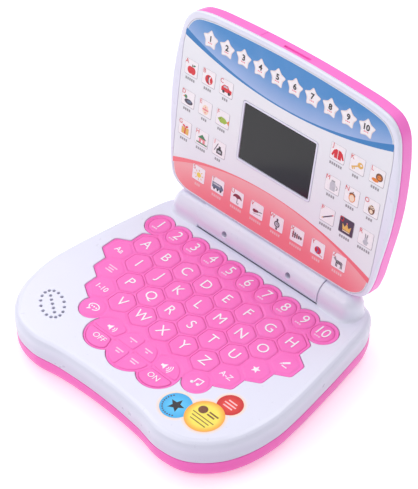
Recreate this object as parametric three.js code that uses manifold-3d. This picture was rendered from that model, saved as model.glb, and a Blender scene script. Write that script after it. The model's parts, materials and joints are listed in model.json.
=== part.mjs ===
// Toy laptop computer, lid open: a scalloped honeycomb keypad in a rounded base,
// and a lid with a picture panel and a dark window, turning on a barrel hinge.
// Millimetres. While it is drawn, x = 0 is the plane of symmetry, y = 0 the line of
// key centres of the longest key row, z = 0 the base's top face; the front is -y.
// The whole object is moved at the end: origin at the middle of its footprint, feet at z = 0.
import * as THREE from "three";
import { mergeVertices } from "three/addons/utils/BufferGeometryUtils.js";
import Module from "manifold-3d";

const wasm = await Module();
wasm.setup();

// ---------- Driving dimensions ----------
const KEY_PITCH = 19; // across the flats of one honeycomb cell, as on a full-size keyboard
const ROW_PITCH = KEY_PITCH * Math.sin(Math.PI / 3);
const NUMBER_PITCH = 16.6;
const NUMBER_ROW_Y = 19.8;
const GAP = 0.3; // between two pieces that touch or lie in each other
const MERGE_TOLERANCE = 0.004; // faces this close to flat become one when a piece is finished

const WALL = 2.2;
const TOP_PLATE = 2.4;
const PARTING_Z = -17; // where the top shell stands on the bottom shell
const BOTTOM_Z = -31.5;
const FOOT_PROUD = 1.5;

const HINGE_Y = 46;
const HINGE_Z = 5.5;
const LID_LEAN = THREE.MathUtils.degToRad(80.4); // the open lid's slope above +y
const LID_FACE = 4.7; // from the hinge axis to the lid's front face
const LID_DEPTH = 14.3;
const LID_PARTING = 1.7; // where the front frame stands on the back shell
const LID_FOOT = 10.7; // from the hinge axis to the lid's lower edge

const BARREL_RADIUS = 10.8;
const BARREL_HALF = 54.4;
const BOSS_RADIUS = 10;
const BOSS_INNER = 55.1;
const BOSS_OUTER = 82.6;
const BOSS_DOME = 9; // length of a boss's rounded end
const TROUGH_GAP = 0.7; // round the barrel
const TROUGH_WALL = 1.8;
const PIN_RADIUS = 2;
const PIN_REACH = 12; // into the barrel, and as far into the boss

const MAT_TOP = -0.9; // the mat between the keys
const KEY_TOP = -0.3;
const MAT_BOTTOM = -3.5;
const KEY_FOOT = -4.6; // underside of a key's skirt at rest
const HEX_CAP = 17.2; // across flats
const NUMBER_CAP_RADIUS = 7.6;
const CAP_CLEARANCE = 0.35;
const SKIRT = 0.55; // how far a key's skirt reaches past its cap
const BORDER = 1.5; // the mat's border outside the cells
const SCALLOP = 10.8; // radius of the mat's border round a number key
const FLANGE = 2.5; // how far the mat reaches under the top plate
const FILLERS = [rectangle(-68, 68, 0, 21), rectangle(-45, 45, -70, -51)]; // between the cells
const SPLIT = 0.8; // half the groove between two keys that share a circle

const GRILLE = { x: -69, y: -82.3, halfLong: 12.8, halfShort: 7.6, spacing: 4, hole: 0.95 };
const GRILLE_TILT = THREE.MathUtils.degToRad(-32);
const SCREEN = { halfWidth: 30.7, low: 59.6, high: 101.4, rim: 1.5 };
const BARREL_SCREW = { x: 29, y: 1.6, radius: 2.2, floor: 5 };
const CELL = { radius: 7.25, length: 50.5, pitch: 15 };
const BATTERY_BAY = { halfX: 28.5, lowY: -52, highY: -6, top: -14.5 };
const DOOR = { thickness: 1.6, screwY: BATTERY_BAY.highY + 3.4, tabReach: 6.5, tabHalf: 4.5 };
const FEET = [[-62, -78], [62, -78], [-66, 36], [66, 36]];
const FOOT_RADIUS = 5.5;

// Half outlines, from the middle of the front (or lower) edge to the middle of the
// back (or upper) edge; each is mirrored and drawn as one smooth closed curve.
const BASE_OUTLINE = [
  [0, -106.2], [36, -108], [58, -111.2], [77.5, -107.2], [93, -93.6], [101.5, -76], [105, -54],
  [104.2, -36], [100.5, -6], [95.8, 24], [91.5, 44], [84, 56], [70, 60.4], [0, 60.8],
];
const LID_OUTLINE = [
  [0, 10.7], [60, 10.7], [78, 11.6], [86.8, 16.8], [90.8, 28], [93, 45], [95.6, 68], [96.3, 86],
  [95.4, 106], [93, 124], [89.6, 136], [83, 143.6], [72, 147], [50, 148.9], [0, 150.4],
];
const MEMBRANE_OUTLINE = [
  [0, -91], [24, -90], [50, -74], [70, -52], [82, -20], [84, 10], [80, 27], [60, 29.6], [0, 30],
];
const PANEL_OUTLINE = [
  [0, 12], [60, 12], [76, 13], [84.4, 18.6], [87.8, 29], [89, 60], [89.2, 100], [88.8, 122],
  [86.4, 132.6], [80, 140], [68, 143.4], [44, 145.4], [0, 146.8],
];

// ---------- Colours ----------
const WHITE = { color: 0xe9e9f8, roughness: 0.35, metalness: 0 };
const PINK = { color: 0xff62b8, roughness: 0.45, metalness: 0 };
const DEEP_PINK = { color: 0xe0559f, roughness: 0.35, metalness: 0 };
const PRINT = { color: 0xe9dfe8, roughness: 0.5, metalness: 0 };
const DARK = { color: 0x3a3a3f, roughness: 0.15, metalness: 0 };
const STEEL = { color: 0xb8b8bc, roughness: 0.3, metalness: 1 };
const GREEN = { color: 0x2f7a4c, roughness: 0.6, metalness: 0 };
const BLACK = { color: 0x242427, roughness: 0.8, metalness: 0 };

// ---------- Solids ----------
function toSolid(geometry) {
  geometry.deleteAttribute("normal");
  geometry.deleteAttribute("uv");
  const merged = mergeVertices(geometry);
  return new wasm.Manifold(new wasm.Mesh({
    numProp: 3,
    vertProperties: new Float32Array(merged.attributes.position.array),
    triVerts: new Uint32Array(merged.index.array),
  }));
}

function toGeometry(solid) {
  const mesh = solid.asOriginal().simplify(MERGE_TOLERANCE).getMesh();
  const geometry = new THREE.BufferGeometry();
  geometry.setAttribute("position", new THREE.BufferAttribute(new Float32Array(mesh.vertProperties), 3));
  geometry.setIndex(new THREE.BufferAttribute(new Uint32Array(mesh.triVerts), 1));
  return geometry;
}

function union(solids) {
  return solids.reduce((whole, next) => whole.add(next));
}

function box(x0, x1, y0, y1, z0, z1) {
  const geometry = new THREE.BoxGeometry(x1 - x0, y1 - y0, z1 - z0);
  geometry.translate((x0 + x1) / 2, (y0 + y1) / 2, (z0 + z1) / 2);
  return toSolid(geometry);
}

function prism(points, z0, z1) {
  const geometry = new THREE.ExtrudeGeometry(new THREE.Shape(points), { depth: z1 - z0, bevelEnabled: false });
  geometry.translate(0, 0, z0);
  return toSolid(geometry);
}

/** A cylinder standing along z. */
function disc(x, y, radius, z0, z1, sides = 32) {
  return prism(circle(x, y, radius, sides), z0, z1);
}

/** A cylinder lying along x, about the line through (y, z). */
function bar(x0, x1, y, z, radius, sides = 32) {
  const geometry = new THREE.CylinderGeometry(radius, radius, x1 - x0, sides);
  geometry.rotateZ(Math.PI / 2);
  geometry.translate((x0 + x1) / 2, y, z);
  return toSolid(geometry);
}

// ---------- Outlines ----------
function circle(x, y, radius, sides = 32) {
  return Array.from({ length: sides }, (_, i) => {
    const angle = (2 * Math.PI * i) / sides;
    return new THREE.Vector2(x + radius * Math.cos(angle), y + radius * Math.sin(angle));
  });
}

function hexagon(x, y, acrossFlats) {
  const radius = acrossFlats / 2 / Math.cos(Math.PI / 6);
  return circle(0, 0, radius, 6).map((p) => new THREE.Vector2(x - p.y, y + p.x));
}

function rectangle(x0, x1, y0, y1) {
  return [[x0, y0], [x1, y0], [x1, y1], [x0, y1]].map(([x, y]) => new THREE.Vector2(x, y));
}

/** Mirrors a half outline and draws one smooth closed curve through it. */
function smoothOutline(half, count) {
  const left = half.slice(1, -1).reverse().map(([x, y]) => [-x, y]);
  const points = [...half, ...left].map(([x, y]) => new THREE.Vector3(x, y, 0));
  const curve = new THREE.CatmullRomCurve3(points, true, "centripetal");
  return curve.getSpacedPoints(count).slice(0, count).map((p) => new THREE.Vector2(p.x, p.y));
}

/** Moves every side of a counter-clockwise outline inwards. */
function inset(points, distance) {
  const count = points.length;
  return points.map((p, i) => {
    const before = p.clone().sub(points[(i + count - 1) % count]).normalize();
    const after = points[(i + 1) % count].clone().sub(p).normalize();
    const normal = new THREE.Vector2(-before.y - after.y, before.x + after.x);
    return p.clone().addScaledVector(normal, distance / (1 + before.dot(after)));
  });
}

/** A solid through rings of one outline, from the lowest [z, inset] to the highest. */
function loft(outline, levels) {
  const rings = levels.map(([z, distance]) => inset(outline, distance).map((p) => [p.x, p.y, z]));
  const count = outline.length;
  const index = [];
  for (let ring = 0; ring + 1 < rings.length; ring++) {
    for (let i = 0; i < count; i++) {
      const a = ring * count + i;
      const b = ring * count + ((i + 1) % count);
      index.push(a, b, b + count, a, b + count, a + count);
    }
  }
  const cap = (ring, flip) => {
    const flat = rings[ring].map(([x, y]) => new THREE.Vector2(x, y));
    for (const [a, b, c] of THREE.ShapeUtils.triangulateShape(flat, [])) {
      const first = ring * count;
      index.push(first + a, first + (flip ? c : b), first + (flip ? b : c));
    }
  };
  cap(0, true);
  cap(rings.length - 1, false);
  const geometry = new THREE.BufferGeometry();
  geometry.setAttribute("position", new THREE.BufferAttribute(new Float32Array(rings.flat(2)), 3));
  geometry.setIndex(index);
  return toSolid(geometry);
}

// ---------- Keypad layout ----------
const LETTER_ROWS = ["ABCDEFGH", "IJKLMNO", "PQRSTU", "VWXYZ"];
const letterKeys = LETTER_ROWS.flatMap((letters, row) =>
  [...letters].map((letter, i) => ({
    name: `key_${letter}`,
    x: (i - (letters.length - 1) / 2) * KEY_PITCH,
    y: -row * ROW_PITCH,
  })));
const numberKeys = Array.from({ length: 10 }, (_, i) => ({
  name: `key_${i + 1}`,
  x: (i - 4.5) * NUMBER_PITCH,
  y: NUMBER_ROW_Y,
}));
// Keys at the two ends of the lower rows, moulded in one with the mat.
const sideKeys = [1, 2, 3].flatMap((row) => {
  const reach = (LETTER_ROWS[row].length + 1) / 2;
  return [-reach, reach].map((column) => ({ x: column * KEY_PITCH, y: -row * ROW_PITCH }));
});
const EAR = { x: 47.5, y: -65.7, border: 10.2, cap: 8.6 }; // round keys beside the lobes
const LOBE = { x: 24.3, y: -76, border: 15, cap: 13.4, top: 11.2 }; // the power keys' lobes
const DIAL = { x: 0, y: -75.6, border: 17.5, cap: 15.9, top: 13 }; // four keys in a ring

/** The scalloped shape of the whole mat, grown or shrunk on all sides. */
function matShape(grow, z0, z1) {
  const cells = [...letterKeys, ...sideKeys].map((key) => (
    hexagon(key.x, key.y, KEY_PITCH + 2 * (BORDER + grow))));
  const scallops = numberKeys.map((key) => circle(key.x, key.y, SCALLOP + grow, 18));
  const rounds = [-1, 1].flatMap((side) => [
    circle(side * EAR.x, EAR.y, EAR.border + grow, 18),
    circle(side * LOBE.x, LOBE.y, LOBE.border + grow, 24),
  ]);
  const dial = circle(DIAL.x, DIAL.y, DIAL.border + grow, 30);
  return union([...cells, ...scallops, ...rounds, ...FILLERS, dial].map((points) => prism(points, z0, z1)));
}

/** One half of a power lobe beside the dial: the lower half is a key, the upper one is moulded in. */
function lobeHalf(side, lower, grow, z0, z1) {
  const halfGap = SPLIT - grow;
  const front = LOBE.y - LOBE.border;
  const [y0, y1] = lower ? [front, LOBE.y - halfGap] : [LOBE.y + halfGap, LOBE.y + LOBE.top];
  return disc(side * LOBE.x, LOBE.y, LOBE.cap + grow, z0, z1)
    .intersect(box(-100, 100, y0, y1, z0 - 1, z1 + 1))
    .subtract(disc(DIAL.x, DIAL.y, DIAL.border - grow, z0 - 1, z1 + 1, 36));
}

/** A key with a skirt under the mat that keeps it in. */
function keySolid(outline) {
  return loft(outline, [
    [KEY_FOOT, -SKIRT],
    [MAT_BOTTOM - GAP, -SKIRT],
    [MAT_BOTTOM - GAP + 0.01, 0],
    [KEY_TOP - 0.5, 0],
    [KEY_TOP, 0.5],
  ]);
}

// ---------- Base ----------
const baseOutline = smoothOutline(BASE_OUTLINE, 80);

function bossSolid(side) {
  const profile = [new THREE.Vector2(0, BOSS_INNER), new THREE.Vector2(BOSS_RADIUS, BOSS_INNER)];
  for (let i = 0; i <= 6; i++) {
    const angle = (i / 6) * (Math.PI / 2);
    profile.push(new THREE.Vector2(
      i === 6 ? 0 : BOSS_RADIUS * Math.cos(angle),
      BOSS_OUTER - BOSS_DOME + BOSS_DOME * Math.sin(angle),
    ));
  }
  const geometry = new THREE.LatheGeometry(profile, 28);
  geometry.rotateZ(-Math.PI / 2);
  geometry.translate(0, HINGE_Y, HINGE_Z);
  const block = box(BOSS_INNER, BOSS_OUTER - 4, HINGE_Y - 9.4, HINGE_Y + 9.4, -TOP_PLATE, HINGE_Z);
  const boss = toSolid(geometry).add(block);
  return side > 0 ? boss : boss.mirror([1, 0, 0]);
}

/** Holes of the speaker grille: an oval ring and a row along its long axis. */
function grilleHoles() {
  const centre = new THREE.Vector2(GRILLE.x, GRILLE.y);
  const places = Array.from({ length: 16 }, (_, i) => {
    const angle = (i / 16) * 2 * Math.PI;
    return new THREE.Vector2(GRILLE.halfLong * Math.cos(angle), GRILLE.halfShort * Math.sin(angle));
  });
  for (let i = -2; i <= 2; i++) places.push(new THREE.Vector2(GRILLE.spacing * i, 0));
  return union(places.map((p) => {
    const place = p.rotateAround(new THREE.Vector2(), GRILLE_TILT).add(centre);
    return disc(place.x, place.y, GRILLE.hole, -8, 1, 6);
  }));
}

function baseTopShell() {
  const outside = loft(baseOutline, [
    [PARTING_Z, 0.6], [-11, 0.15], [-6, 0], [-3.6, 0.5], [-1.8, 1.6], [-0.5, 3.4], [0, 5.3],
  ]);
  const inside = loft(baseOutline, [
    [PARTING_Z - 1, 0.6 + WALL], [-6, WALL], [-TOP_PLATE - 1, WALL + 2], [-TOP_PLATE, WALL + 4.5],
  ]);
  const troughRadius = BARREL_RADIUS + TROUGH_GAP;
  const wallReach = BOSS_INNER + 2;
  const troughWall = bar(-wallReach, wallReach, HINGE_Y, HINGE_Z, troughRadius + TROUGH_WALL)
    .intersect(loft(baseOutline, [[-12, 1], [0, 5.3]]));
  const trough = bar(-BOSS_INNER, BOSS_INNER, HINGE_Y, HINGE_Z, troughRadius, 48);
  const bores = [-1, 1].map((side) => bar(
    Math.min(side * (BOSS_INNER - 1), side * (BOSS_INNER + PIN_REACH + GAP)),
    Math.max(side * (BOSS_INNER - 1), side * (BOSS_INNER + PIN_REACH + GAP)),
    HINGE_Y, HINGE_Z, PIN_RADIUS + GAP, 20,
  ));
  return union([outside.subtract(inside), troughWall, bossSolid(-1), bossSolid(1)])
    .subtract(trough)
    .subtract(union(bores))
    .subtract(matShape(0, -TOP_PLATE - 1, 1))
    .subtract(grilleHoles());
}

function baseBottomShell() {
  const outside = loft(baseOutline, [
    [BOTTOM_Z, 9], [-31.2, 6.2], [-30, 3.4], [-27.8, 1.6], [-24, 0.6], [PARTING_Z - GAP, 0.6],
  ]);
  const inside = loft(baseOutline, [[BOTTOM_Z + WALL, 9.5], [-27.6, 5], [-24, 2.8], [PARTING_Z, 2.8]]);
  const { halfX, lowY, highY, top } = BATTERY_BAY;
  const bayWalls = box(-halfX - 1.6, halfX + 1.6, lowY - 1.6, highY + 1.6, BOTTOM_Z + 1, top);
  const screwPost = box(-5, 5, highY + 1, highY + 8, BOTTOM_Z + 1, BOTTOM_Z + 11);
  const bay = box(-halfX, halfX, lowY, highY, BOTTOM_Z - 1, top + 1);
  const tabHalf = DOOR.tabHalf + GAP;
  const tabTop = BOTTOM_Z + DOOR.thickness + GAP;
  const doorTab = box(-tabHalf, tabHalf, highY - 1, highY + DOOR.tabReach + GAP, BOTTOM_Z - 1, tabTop);
  const screwHole = disc(0, DOOR.screwY, 1.4, BOTTOM_Z, BOTTOM_Z + 9, 12);
  const footSeats = FEET.map(([x, y]) => disc(x, y, FOOT_RADIUS + GAP, BOTTOM_Z - 1, BOTTOM_Z + 0.9, 24));
  return union([outside.subtract(inside), bayWalls, screwPost])
    .subtract(union([bay, doorTab, screwHole, ...footSeats]));
}

function batteryDoor() {
  const { halfX, lowY, highY } = BATTERY_BAY;
  const top = BOTTOM_Z + DOOR.thickness;
  const plate = box(-halfX + GAP, halfX - GAP, lowY + GAP, highY - GAP, BOTTOM_Z, top);
  const tab = box(-DOOR.tabHalf, DOOR.tabHalf, highY - 2, highY + DOOR.tabReach, BOTTOM_Z, top);
  const hole = disc(0, DOOR.screwY, 1.3, BOTTOM_Z - 1, BOTTOM_Z + 3, 12);
  const sink = disc(0, DOOR.screwY, 2.7, BOTTOM_Z - 1, BOTTOM_Z + 0.9, 16);
  return plate.add(tab).subtract(hole).subtract(sink);
}

function batteryDoorScrew() {
  const head = disc(0, DOOR.screwY, 2.4, BOTTOM_Z + 0.1, BOTTOM_Z + 0.6, 16);
  return head.add(disc(0, DOOR.screwY, 1, BOTTOM_Z + 0.1, BOTTOM_Z + 8, 10));
}

function batteryCell(y) {
  const z = BOTTOM_Z + 2.1 + CELL.radius;
  const can = bar(-CELL.length / 2 + 1, CELL.length / 2, y, z, CELL.radius, 20);
  return can.add(bar(-CELL.length / 2, -CELL.length / 2 + 2, y, z, 2.7, 12));
}

function speakerSolid() {
  const profile = [[0, -12.5], [9, -12.5], [9, -8.5], [14, -6], [14, -4.2], [12, -4.2], [3.4, -6.6], [0, -6.2]];
  const geometry = new THREE.LatheGeometry(profile.map(([r, z]) => new THREE.Vector2(r, z)), 24);
  geometry.rotateX(Math.PI / 2);
  geometry.translate(GRILLE.x, GRILLE.y, 0);
  return toSolid(geometry);
}

function circuitBoard() {
  const board = box(-46, 46, -62, 24, -9.2, -7.6);
  const chip = disc(0, -18, 9, -10.6, -9, 20);
  const capacitors = [-30, 30].map((x) => box(x - 3, x + 3, 8, 16, -11.5, -9));
  return union([board, chip, ...capacitors]);
}

function keypadMat() {
  const hexHoles = letterKeys.map((key) => prism(hexagon(key.x, key.y, HEX_CAP + 2 * CAP_CLEARANCE), -6, 1));
  const roundHoles = numberKeys.map((key) => disc(key.x, key.y, NUMBER_CAP_RADIUS + CAP_CLEARANCE, -6, 1, 16));
  const powerHoles = [-1, 1].map((side) => lobeHalf(side, true, CAP_CLEARANCE, -6, 1));
  const sidePads = sideKeys.map((key) => prism(hexagon(key.x, key.y, HEX_CAP), MAT_BOTTOM, KEY_TOP));
  const earPads = [-1, 1].map((side) => disc(side * EAR.x, EAR.y, EAR.cap, MAT_BOTTOM, KEY_TOP, 24));
  const iconPads = [-1, 1].map((side) => lobeHalf(side, false, 0, MAT_BOTTOM, KEY_TOP));
  const cross = union([
    box(-SPLIT, SPLIT, DIAL.y - DIAL.border, DIAL.y + DIAL.border, -6, 1),
    box(-DIAL.border, DIAL.border, DIAL.y - SPLIT, DIAL.y + SPLIT, -6, 1),
  ]);
  const dialPads = disc(DIAL.x, DIAL.y, DIAL.cap, MAT_BOTTOM, KEY_TOP, 36)
    .intersect(box(-DIAL.border, DIAL.border, DIAL.y - DIAL.border, DIAL.y + DIAL.top, -6, 1))
    .subtract(cross);
  const flange = matShape(FLANGE, MAT_BOTTOM, -TOP_PLATE - GAP);
  const raised = matShape(-CAP_CLEARANCE, MAT_BOTTOM, MAT_TOP);
  return union([flange, raised, ...sidePads, ...earPads, ...iconPads, dialPads])
    .subtract(union([...hexHoles, ...roundHoles, ...powerHoles]));
}

function powerKey(side) {
  return lobeHalf(side, true, SKIRT, KEY_FOOT, MAT_BOTTOM - GAP)
    .add(lobeHalf(side, true, 0, KEY_FOOT, KEY_TOP));
}

// ---------- Lid, drawn flat: y up from the hinge axis, z out of its front face ----------
const lidOutline = smoothOutline(LID_OUTLINE, 80);
const panelOutline = smoothOutline(PANEL_OUTLINE, 72);

function lidFrontFrame() {
  const outside = loft(lidOutline, [
    [LID_PARTING, 0.3], [LID_FACE - 1.8, 0], [LID_FACE - 0.8, 0.3], [LID_FACE - 0.25, 0.9], [LID_FACE, 1.8],
  ]);
  const pocket = loft(inset(lidOutline, 3), [[LID_PARTING - 1, 0], [LID_FACE - 2.1, 0]]);
  const panelSeat = loft(panelOutline, [[LID_FACE - 0.75, 0], [LID_FACE + 1, 0]]);
  const { halfWidth, low, high, rim: width } = SCREEN;
  const rim = box(-halfWidth - width, halfWidth + width, low - width, high + width, LID_FACE - 1.2, LID_FACE + 0.2);
  const hole = box(-halfWidth, halfWidth, low, high, LID_FACE - 8, LID_FACE + 3);
  return outside.subtract(pocket).subtract(panelSeat).add(rim).subtract(hole);
}

function lidBackShell() {
  const back = LID_FACE - LID_DEPTH;
  const outside = loft(lidOutline, [
    [back, 4.4], [back + 0.4, 2.4], [back + 1.4, 0.9], [back + 3.2, 0.1], [0, 0], [LID_PARTING - GAP, 0.2],
  ]);
  const inside = loft(lidOutline, [[back + 2, 5], [back + 4, 2.6], [LID_PARTING + 1, 2.4]]);
  const dip = box(-28, 28, 149.6, 160, back - 1, LID_PARTING + 1);
  const fingerSlot = box(-11, 11, 148.1, 160, -3.2, -0.9);
  return outside.subtract(inside).subtract(dip).subtract(fingerSlot);
}

function picturePanel() {
  const sheet = loft(inset(panelOutline, GAP), [[LID_FACE - 0.45, 0], [LID_FACE - 0.05, 0]]);
  const { halfWidth, low, high } = SCREEN;
  const margin = SCREEN.rim + GAP;
  return sheet.subtract(box(-halfWidth - margin, halfWidth + margin, low - margin, high + margin, 0, 10));
}

function screenWindow() {
  const { halfWidth, low, high } = SCREEN;
  return box(-halfWidth + GAP, halfWidth - GAP, low + GAP, high - GAP, LID_FACE - 1.7, LID_FACE - 0.3);
}

function hingeBarrel() {
  const barrel = bar(-BARREL_HALF, BARREL_HALF, 0, 0, BARREL_RADIUS, 48);
  const web = box(-BARREL_HALF, BARREL_HALF, 0, LID_FOOT - GAP, LID_FACE - LID_DEPTH + 3.6, LID_FACE - 0.8);
  const trim = box(-BARREL_HALF - 1, BARREL_HALF + 1, LID_FOOT - GAP, LID_FOOT + 9, -20, 20);
  const bores = [-1, 1].map((side) => {
    const [a, b] = [side * (BARREL_HALF - PIN_REACH - GAP), side * (BARREL_HALF + 1)];
    return bar(Math.min(a, b), Math.max(a, b), 0, 0, PIN_RADIUS + 0.35, 20);
  });
  const screwHoles = [-1, 1].map((side) => (
    disc(side * BARREL_SCREW.x, BARREL_SCREW.y, BARREL_SCREW.radius, BARREL_SCREW.floor, 20, 14)));
  return barrel.add(web).subtract(trim).subtract(union([...bores, ...screwHoles]));
}

// ---------- Assembly ----------
const laptop = new THREE.Group();
const base = new THREE.Group();
const lid = new THREE.Group();
lid.position.set(0, HINGE_Y, HINGE_Z);
lid.rotation.x = LID_LEAN;
laptop.add(base, lid);

function place(parent, name, solid, look) {
  const mesh = new THREE.Mesh(toGeometry(solid), new THREE.MeshStandardMaterial(look));
  mesh.name = name;
  parent.add(mesh);
}

place(base, "base_top_shell", baseTopShell(), WHITE);
place(base, "base_bottom_shell", baseBottomShell(), DEEP_PINK);
place(base, "keypad_mat", keypadMat(), PINK);
const membrane = prism(smoothOutline(MEMBRANE_OUTLINE, 40), -6.9, -5.7);
place(base, "key_membrane", membrane, PRINT);
place(base, "main_circuit_board", circuitBoard(), GREEN);
place(base, "speaker", speakerSolid(), BLACK);
place(base, "battery_door", batteryDoor(), DEEP_PINK);
place(base, "battery_door_screw", batteryDoorScrew(), STEEL);
const bayMiddle = (BATTERY_BAY.lowY + BATTERY_BAY.highY) / 2;
[-1, 0, 1].forEach((step, i) => {
  place(base, `battery_cell_${i + 1}`, batteryCell(bayMiddle + step * CELL.pitch), DARK);
});
FEET.forEach(([x, y], i) => {
  const foot = disc(x, y, FOOT_RADIUS, BOTTOM_Z - FOOT_PROUD, BOTTOM_Z + 0.6, 24);
  place(base, `rubber_foot_${i + 1}`, foot, BLACK);
});
for (const [side, word] of [[-1, "left"], [1, "right"]]) {
  const ends = [side * (BARREL_HALF - PIN_REACH), side * (BOSS_INNER + PIN_REACH)].sort((a, b) => a - b);
  place(base, `hinge_pin_${word}`, bar(ends[0], ends[1], HINGE_Y, HINGE_Z, PIN_RADIUS, 16), STEEL);
}
for (const key of numberKeys) {
  place(base, key.name, keySolid(circle(key.x, key.y, NUMBER_CAP_RADIUS, 16)), PINK);
}
for (const key of letterKeys) {
  place(base, key.name, keySolid(hexagon(key.x, key.y, HEX_CAP)), PINK);
}
place(base, "key_OFF", powerKey(-1), PINK);
place(base, "key_ON", powerKey(1), PINK);

place(lid, "lid_front_frame", lidFrontFrame(), WHITE);
place(lid, "lid_back_shell", lidBackShell(), DEEP_PINK);
place(lid, "picture_panel", picturePanel(), PRINT);
place(lid, "screen_window", screenWindow(), DARK);
place(lid, "hinge_barrel", hingeBarrel(), WHITE);

laptop.updateMatrixWorld(true);
const bounds = new THREE.Box3().setFromObject(laptop, true);
laptop.position.set(-(bounds.min.x + bounds.max.x) / 2, -(bounds.min.y + bounds.max.y) / 2, -bounds.min.z);

export default laptop;
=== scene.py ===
"""Toy laptop computer: honeycomb keypad in a rounded two-tone base, picture panel and dark window in the lid.

Shapes are drawn in millimetres in two flat frames and put in their place at the end:
the base frame has x = 0 on the plane of symmetry, y = 0 on the longest key row and z = 0 on the
base's top face; the lid frame lies on the hinge axis, y up the lid and z out of its front face.
"""

from __future__ import annotations

import json
import logging
import math
from dataclasses import dataclass, field
from enum import Enum
from typing import Callable, Iterable, Sequence

import bmesh
import bpy
from mathutils import Matrix, Vector

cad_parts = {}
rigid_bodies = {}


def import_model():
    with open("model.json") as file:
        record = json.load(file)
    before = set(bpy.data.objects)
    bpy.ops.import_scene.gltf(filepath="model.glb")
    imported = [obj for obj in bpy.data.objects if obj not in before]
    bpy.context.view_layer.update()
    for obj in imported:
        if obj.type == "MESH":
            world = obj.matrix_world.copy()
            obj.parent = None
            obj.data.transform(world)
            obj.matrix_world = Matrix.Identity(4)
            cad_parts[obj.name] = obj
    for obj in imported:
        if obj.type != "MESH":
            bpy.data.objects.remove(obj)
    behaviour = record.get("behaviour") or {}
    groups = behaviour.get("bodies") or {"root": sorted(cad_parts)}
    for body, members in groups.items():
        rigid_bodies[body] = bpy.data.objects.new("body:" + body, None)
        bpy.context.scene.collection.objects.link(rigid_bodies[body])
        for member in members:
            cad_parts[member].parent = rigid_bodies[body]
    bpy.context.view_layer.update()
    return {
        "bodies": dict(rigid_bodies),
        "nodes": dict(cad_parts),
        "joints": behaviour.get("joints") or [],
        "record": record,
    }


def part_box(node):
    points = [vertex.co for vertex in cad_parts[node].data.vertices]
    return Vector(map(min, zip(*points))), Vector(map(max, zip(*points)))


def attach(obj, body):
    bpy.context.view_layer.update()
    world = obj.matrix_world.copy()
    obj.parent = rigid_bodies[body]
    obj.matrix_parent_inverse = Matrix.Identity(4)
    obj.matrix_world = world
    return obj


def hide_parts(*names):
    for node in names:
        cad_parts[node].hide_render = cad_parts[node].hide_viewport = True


log = logging.getLogger("toy_laptop")

MM = 0.001
LID_LEAN = math.radians(80.4)
CAPITAL_SHARE = 0.73
SAME_PLACE = 1e-6

Point = tuple[float, float]
Outline = list[Point]
Colour = tuple[float, float, float]
Solid = bpy.types.Object
Socket = bpy.types.NodeSocket


# -------- outlines


def dense(points: Sequence[Point], spacing: float) -> Outline:
    """Puts evenly spaced points along a closed outline.

    Args:
        points: corners of the outline, in order.
        spacing: largest distance between two neighbours.

    Returns:
        The outline with the added points.
    """
    filled: Outline = []
    for start, end in zip(points, [*points[1:], points[0]]):
        steps = max(1, math.ceil(math.dist(start, end) / spacing))
        for i in range(steps):
            share = i / steps
            filled.append((start[0] + (end[0] - start[0]) * share, start[1] + (end[1] - start[1]) * share))
    return filled


def soften(points: Sequence[Point], passes: int) -> Outline:
    """Rounds the corners of a closed, evenly spaced outline by averaging neighbours.

    Args:
        points: an outline with evenly spaced points.
        passes: how often neighbours are averaged.

    Returns:
        The softened outline.
    """
    soft = list(points)
    for _ in range(passes):
        around = zip([soft[-1], *soft[:-1]], soft, [*soft[1:], soft[0]])
        soft = [((a[0] + 2 * b[0] + c[0]) / 4, (a[1] + 2 * b[1] + c[1]) / 4) for a, b, c in around]
    return soft


def inset(points: Sequence[Point], distance: float) -> Outline:
    """Moves every side of a counter-clockwise outline inwards by a distance.

    Args:
        points: the outline, counter-clockwise.
        distance: how far it moves; a negative distance grows it.

    Returns:
        The moved outline.
    """
    moved: Outline = []
    count = len(points)
    for i, point in enumerate(points):
        before = (Vector(point) - Vector(points[i - 1])).normalized()
        after = (Vector(points[(i + 1) % count]) - Vector(point)).normalized()
        normal = Vector((-before.y - after.y, before.x + after.x))
        place = Vector(point) + normal * (distance / (1 + before.dot(after)))
        moved.append((place.x, place.y))
    return moved


def circle(x: float, y: float, radius: float, sides: int = 48, height: float = 0.0) -> Outline:
    """A circle, or an ellipse where a height (its other half axis) is given.

    Args:
        x: the middle.
        y: the middle.
        radius: radius, or the half axis along x.
        sides: number of points.
        height: half axis along y, or 0 for a circle.

    Returns:
        The outline, counter-clockwise.
    """
    tall = height or radius
    turns = [2 * math.pi * i / sides for i in range(sides)]
    return [(x + radius * math.cos(turn), y + tall * math.sin(turn)) for turn in turns]


def hexagon(x: float, y: float, across: float) -> Outline:
    """A hexagon with a corner to the front and one to the back, its corners slightly rounded.

    Args:
        x: the middle.
        y: the middle.
        across: width across the flats.

    Returns:
        The outline, counter-clockwise.
    """
    radius = across / 2 / math.cos(math.pi / 6)
    corners = [(x - radius * math.sin(i * math.pi / 3),
                y + radius * math.cos(i * math.pi / 3)) for i in range(6)]
    return soften(dense(corners, 0.9), 4)


def rectangle(x0: float, x1: float, y0: float, y1: float, corner: float = 0.0, steps: int = 6) -> Outline:
    """An upright rectangle, its corners rounded where a corner radius is given.

    Args:
        x0: left side.
        x1: right side.
        y0: lower side.
        y1: upper side.
        corner: radius of the corners.
        steps: steps in each rounded corner.

    Returns:
        The outline, counter-clockwise.
    """
    if not corner:
        return [(x0, y0), (x1, y0), (x1, y1), (x0, y1)]
    centres = [(x1 - corner, y0 + corner, 270), (x1 - corner, y1 - corner, 0),
               (x0 + corner, y1 - corner, 90), (x0 + corner, y0 + corner, 180)]
    points: Outline = []
    for x, y, start in centres:
        for i in range(steps + 1):
            turn = math.radians(start + 90 * i / steps)
            points.append((x + corner * math.cos(turn), y + corner * math.sin(turn)))
    return points


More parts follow.
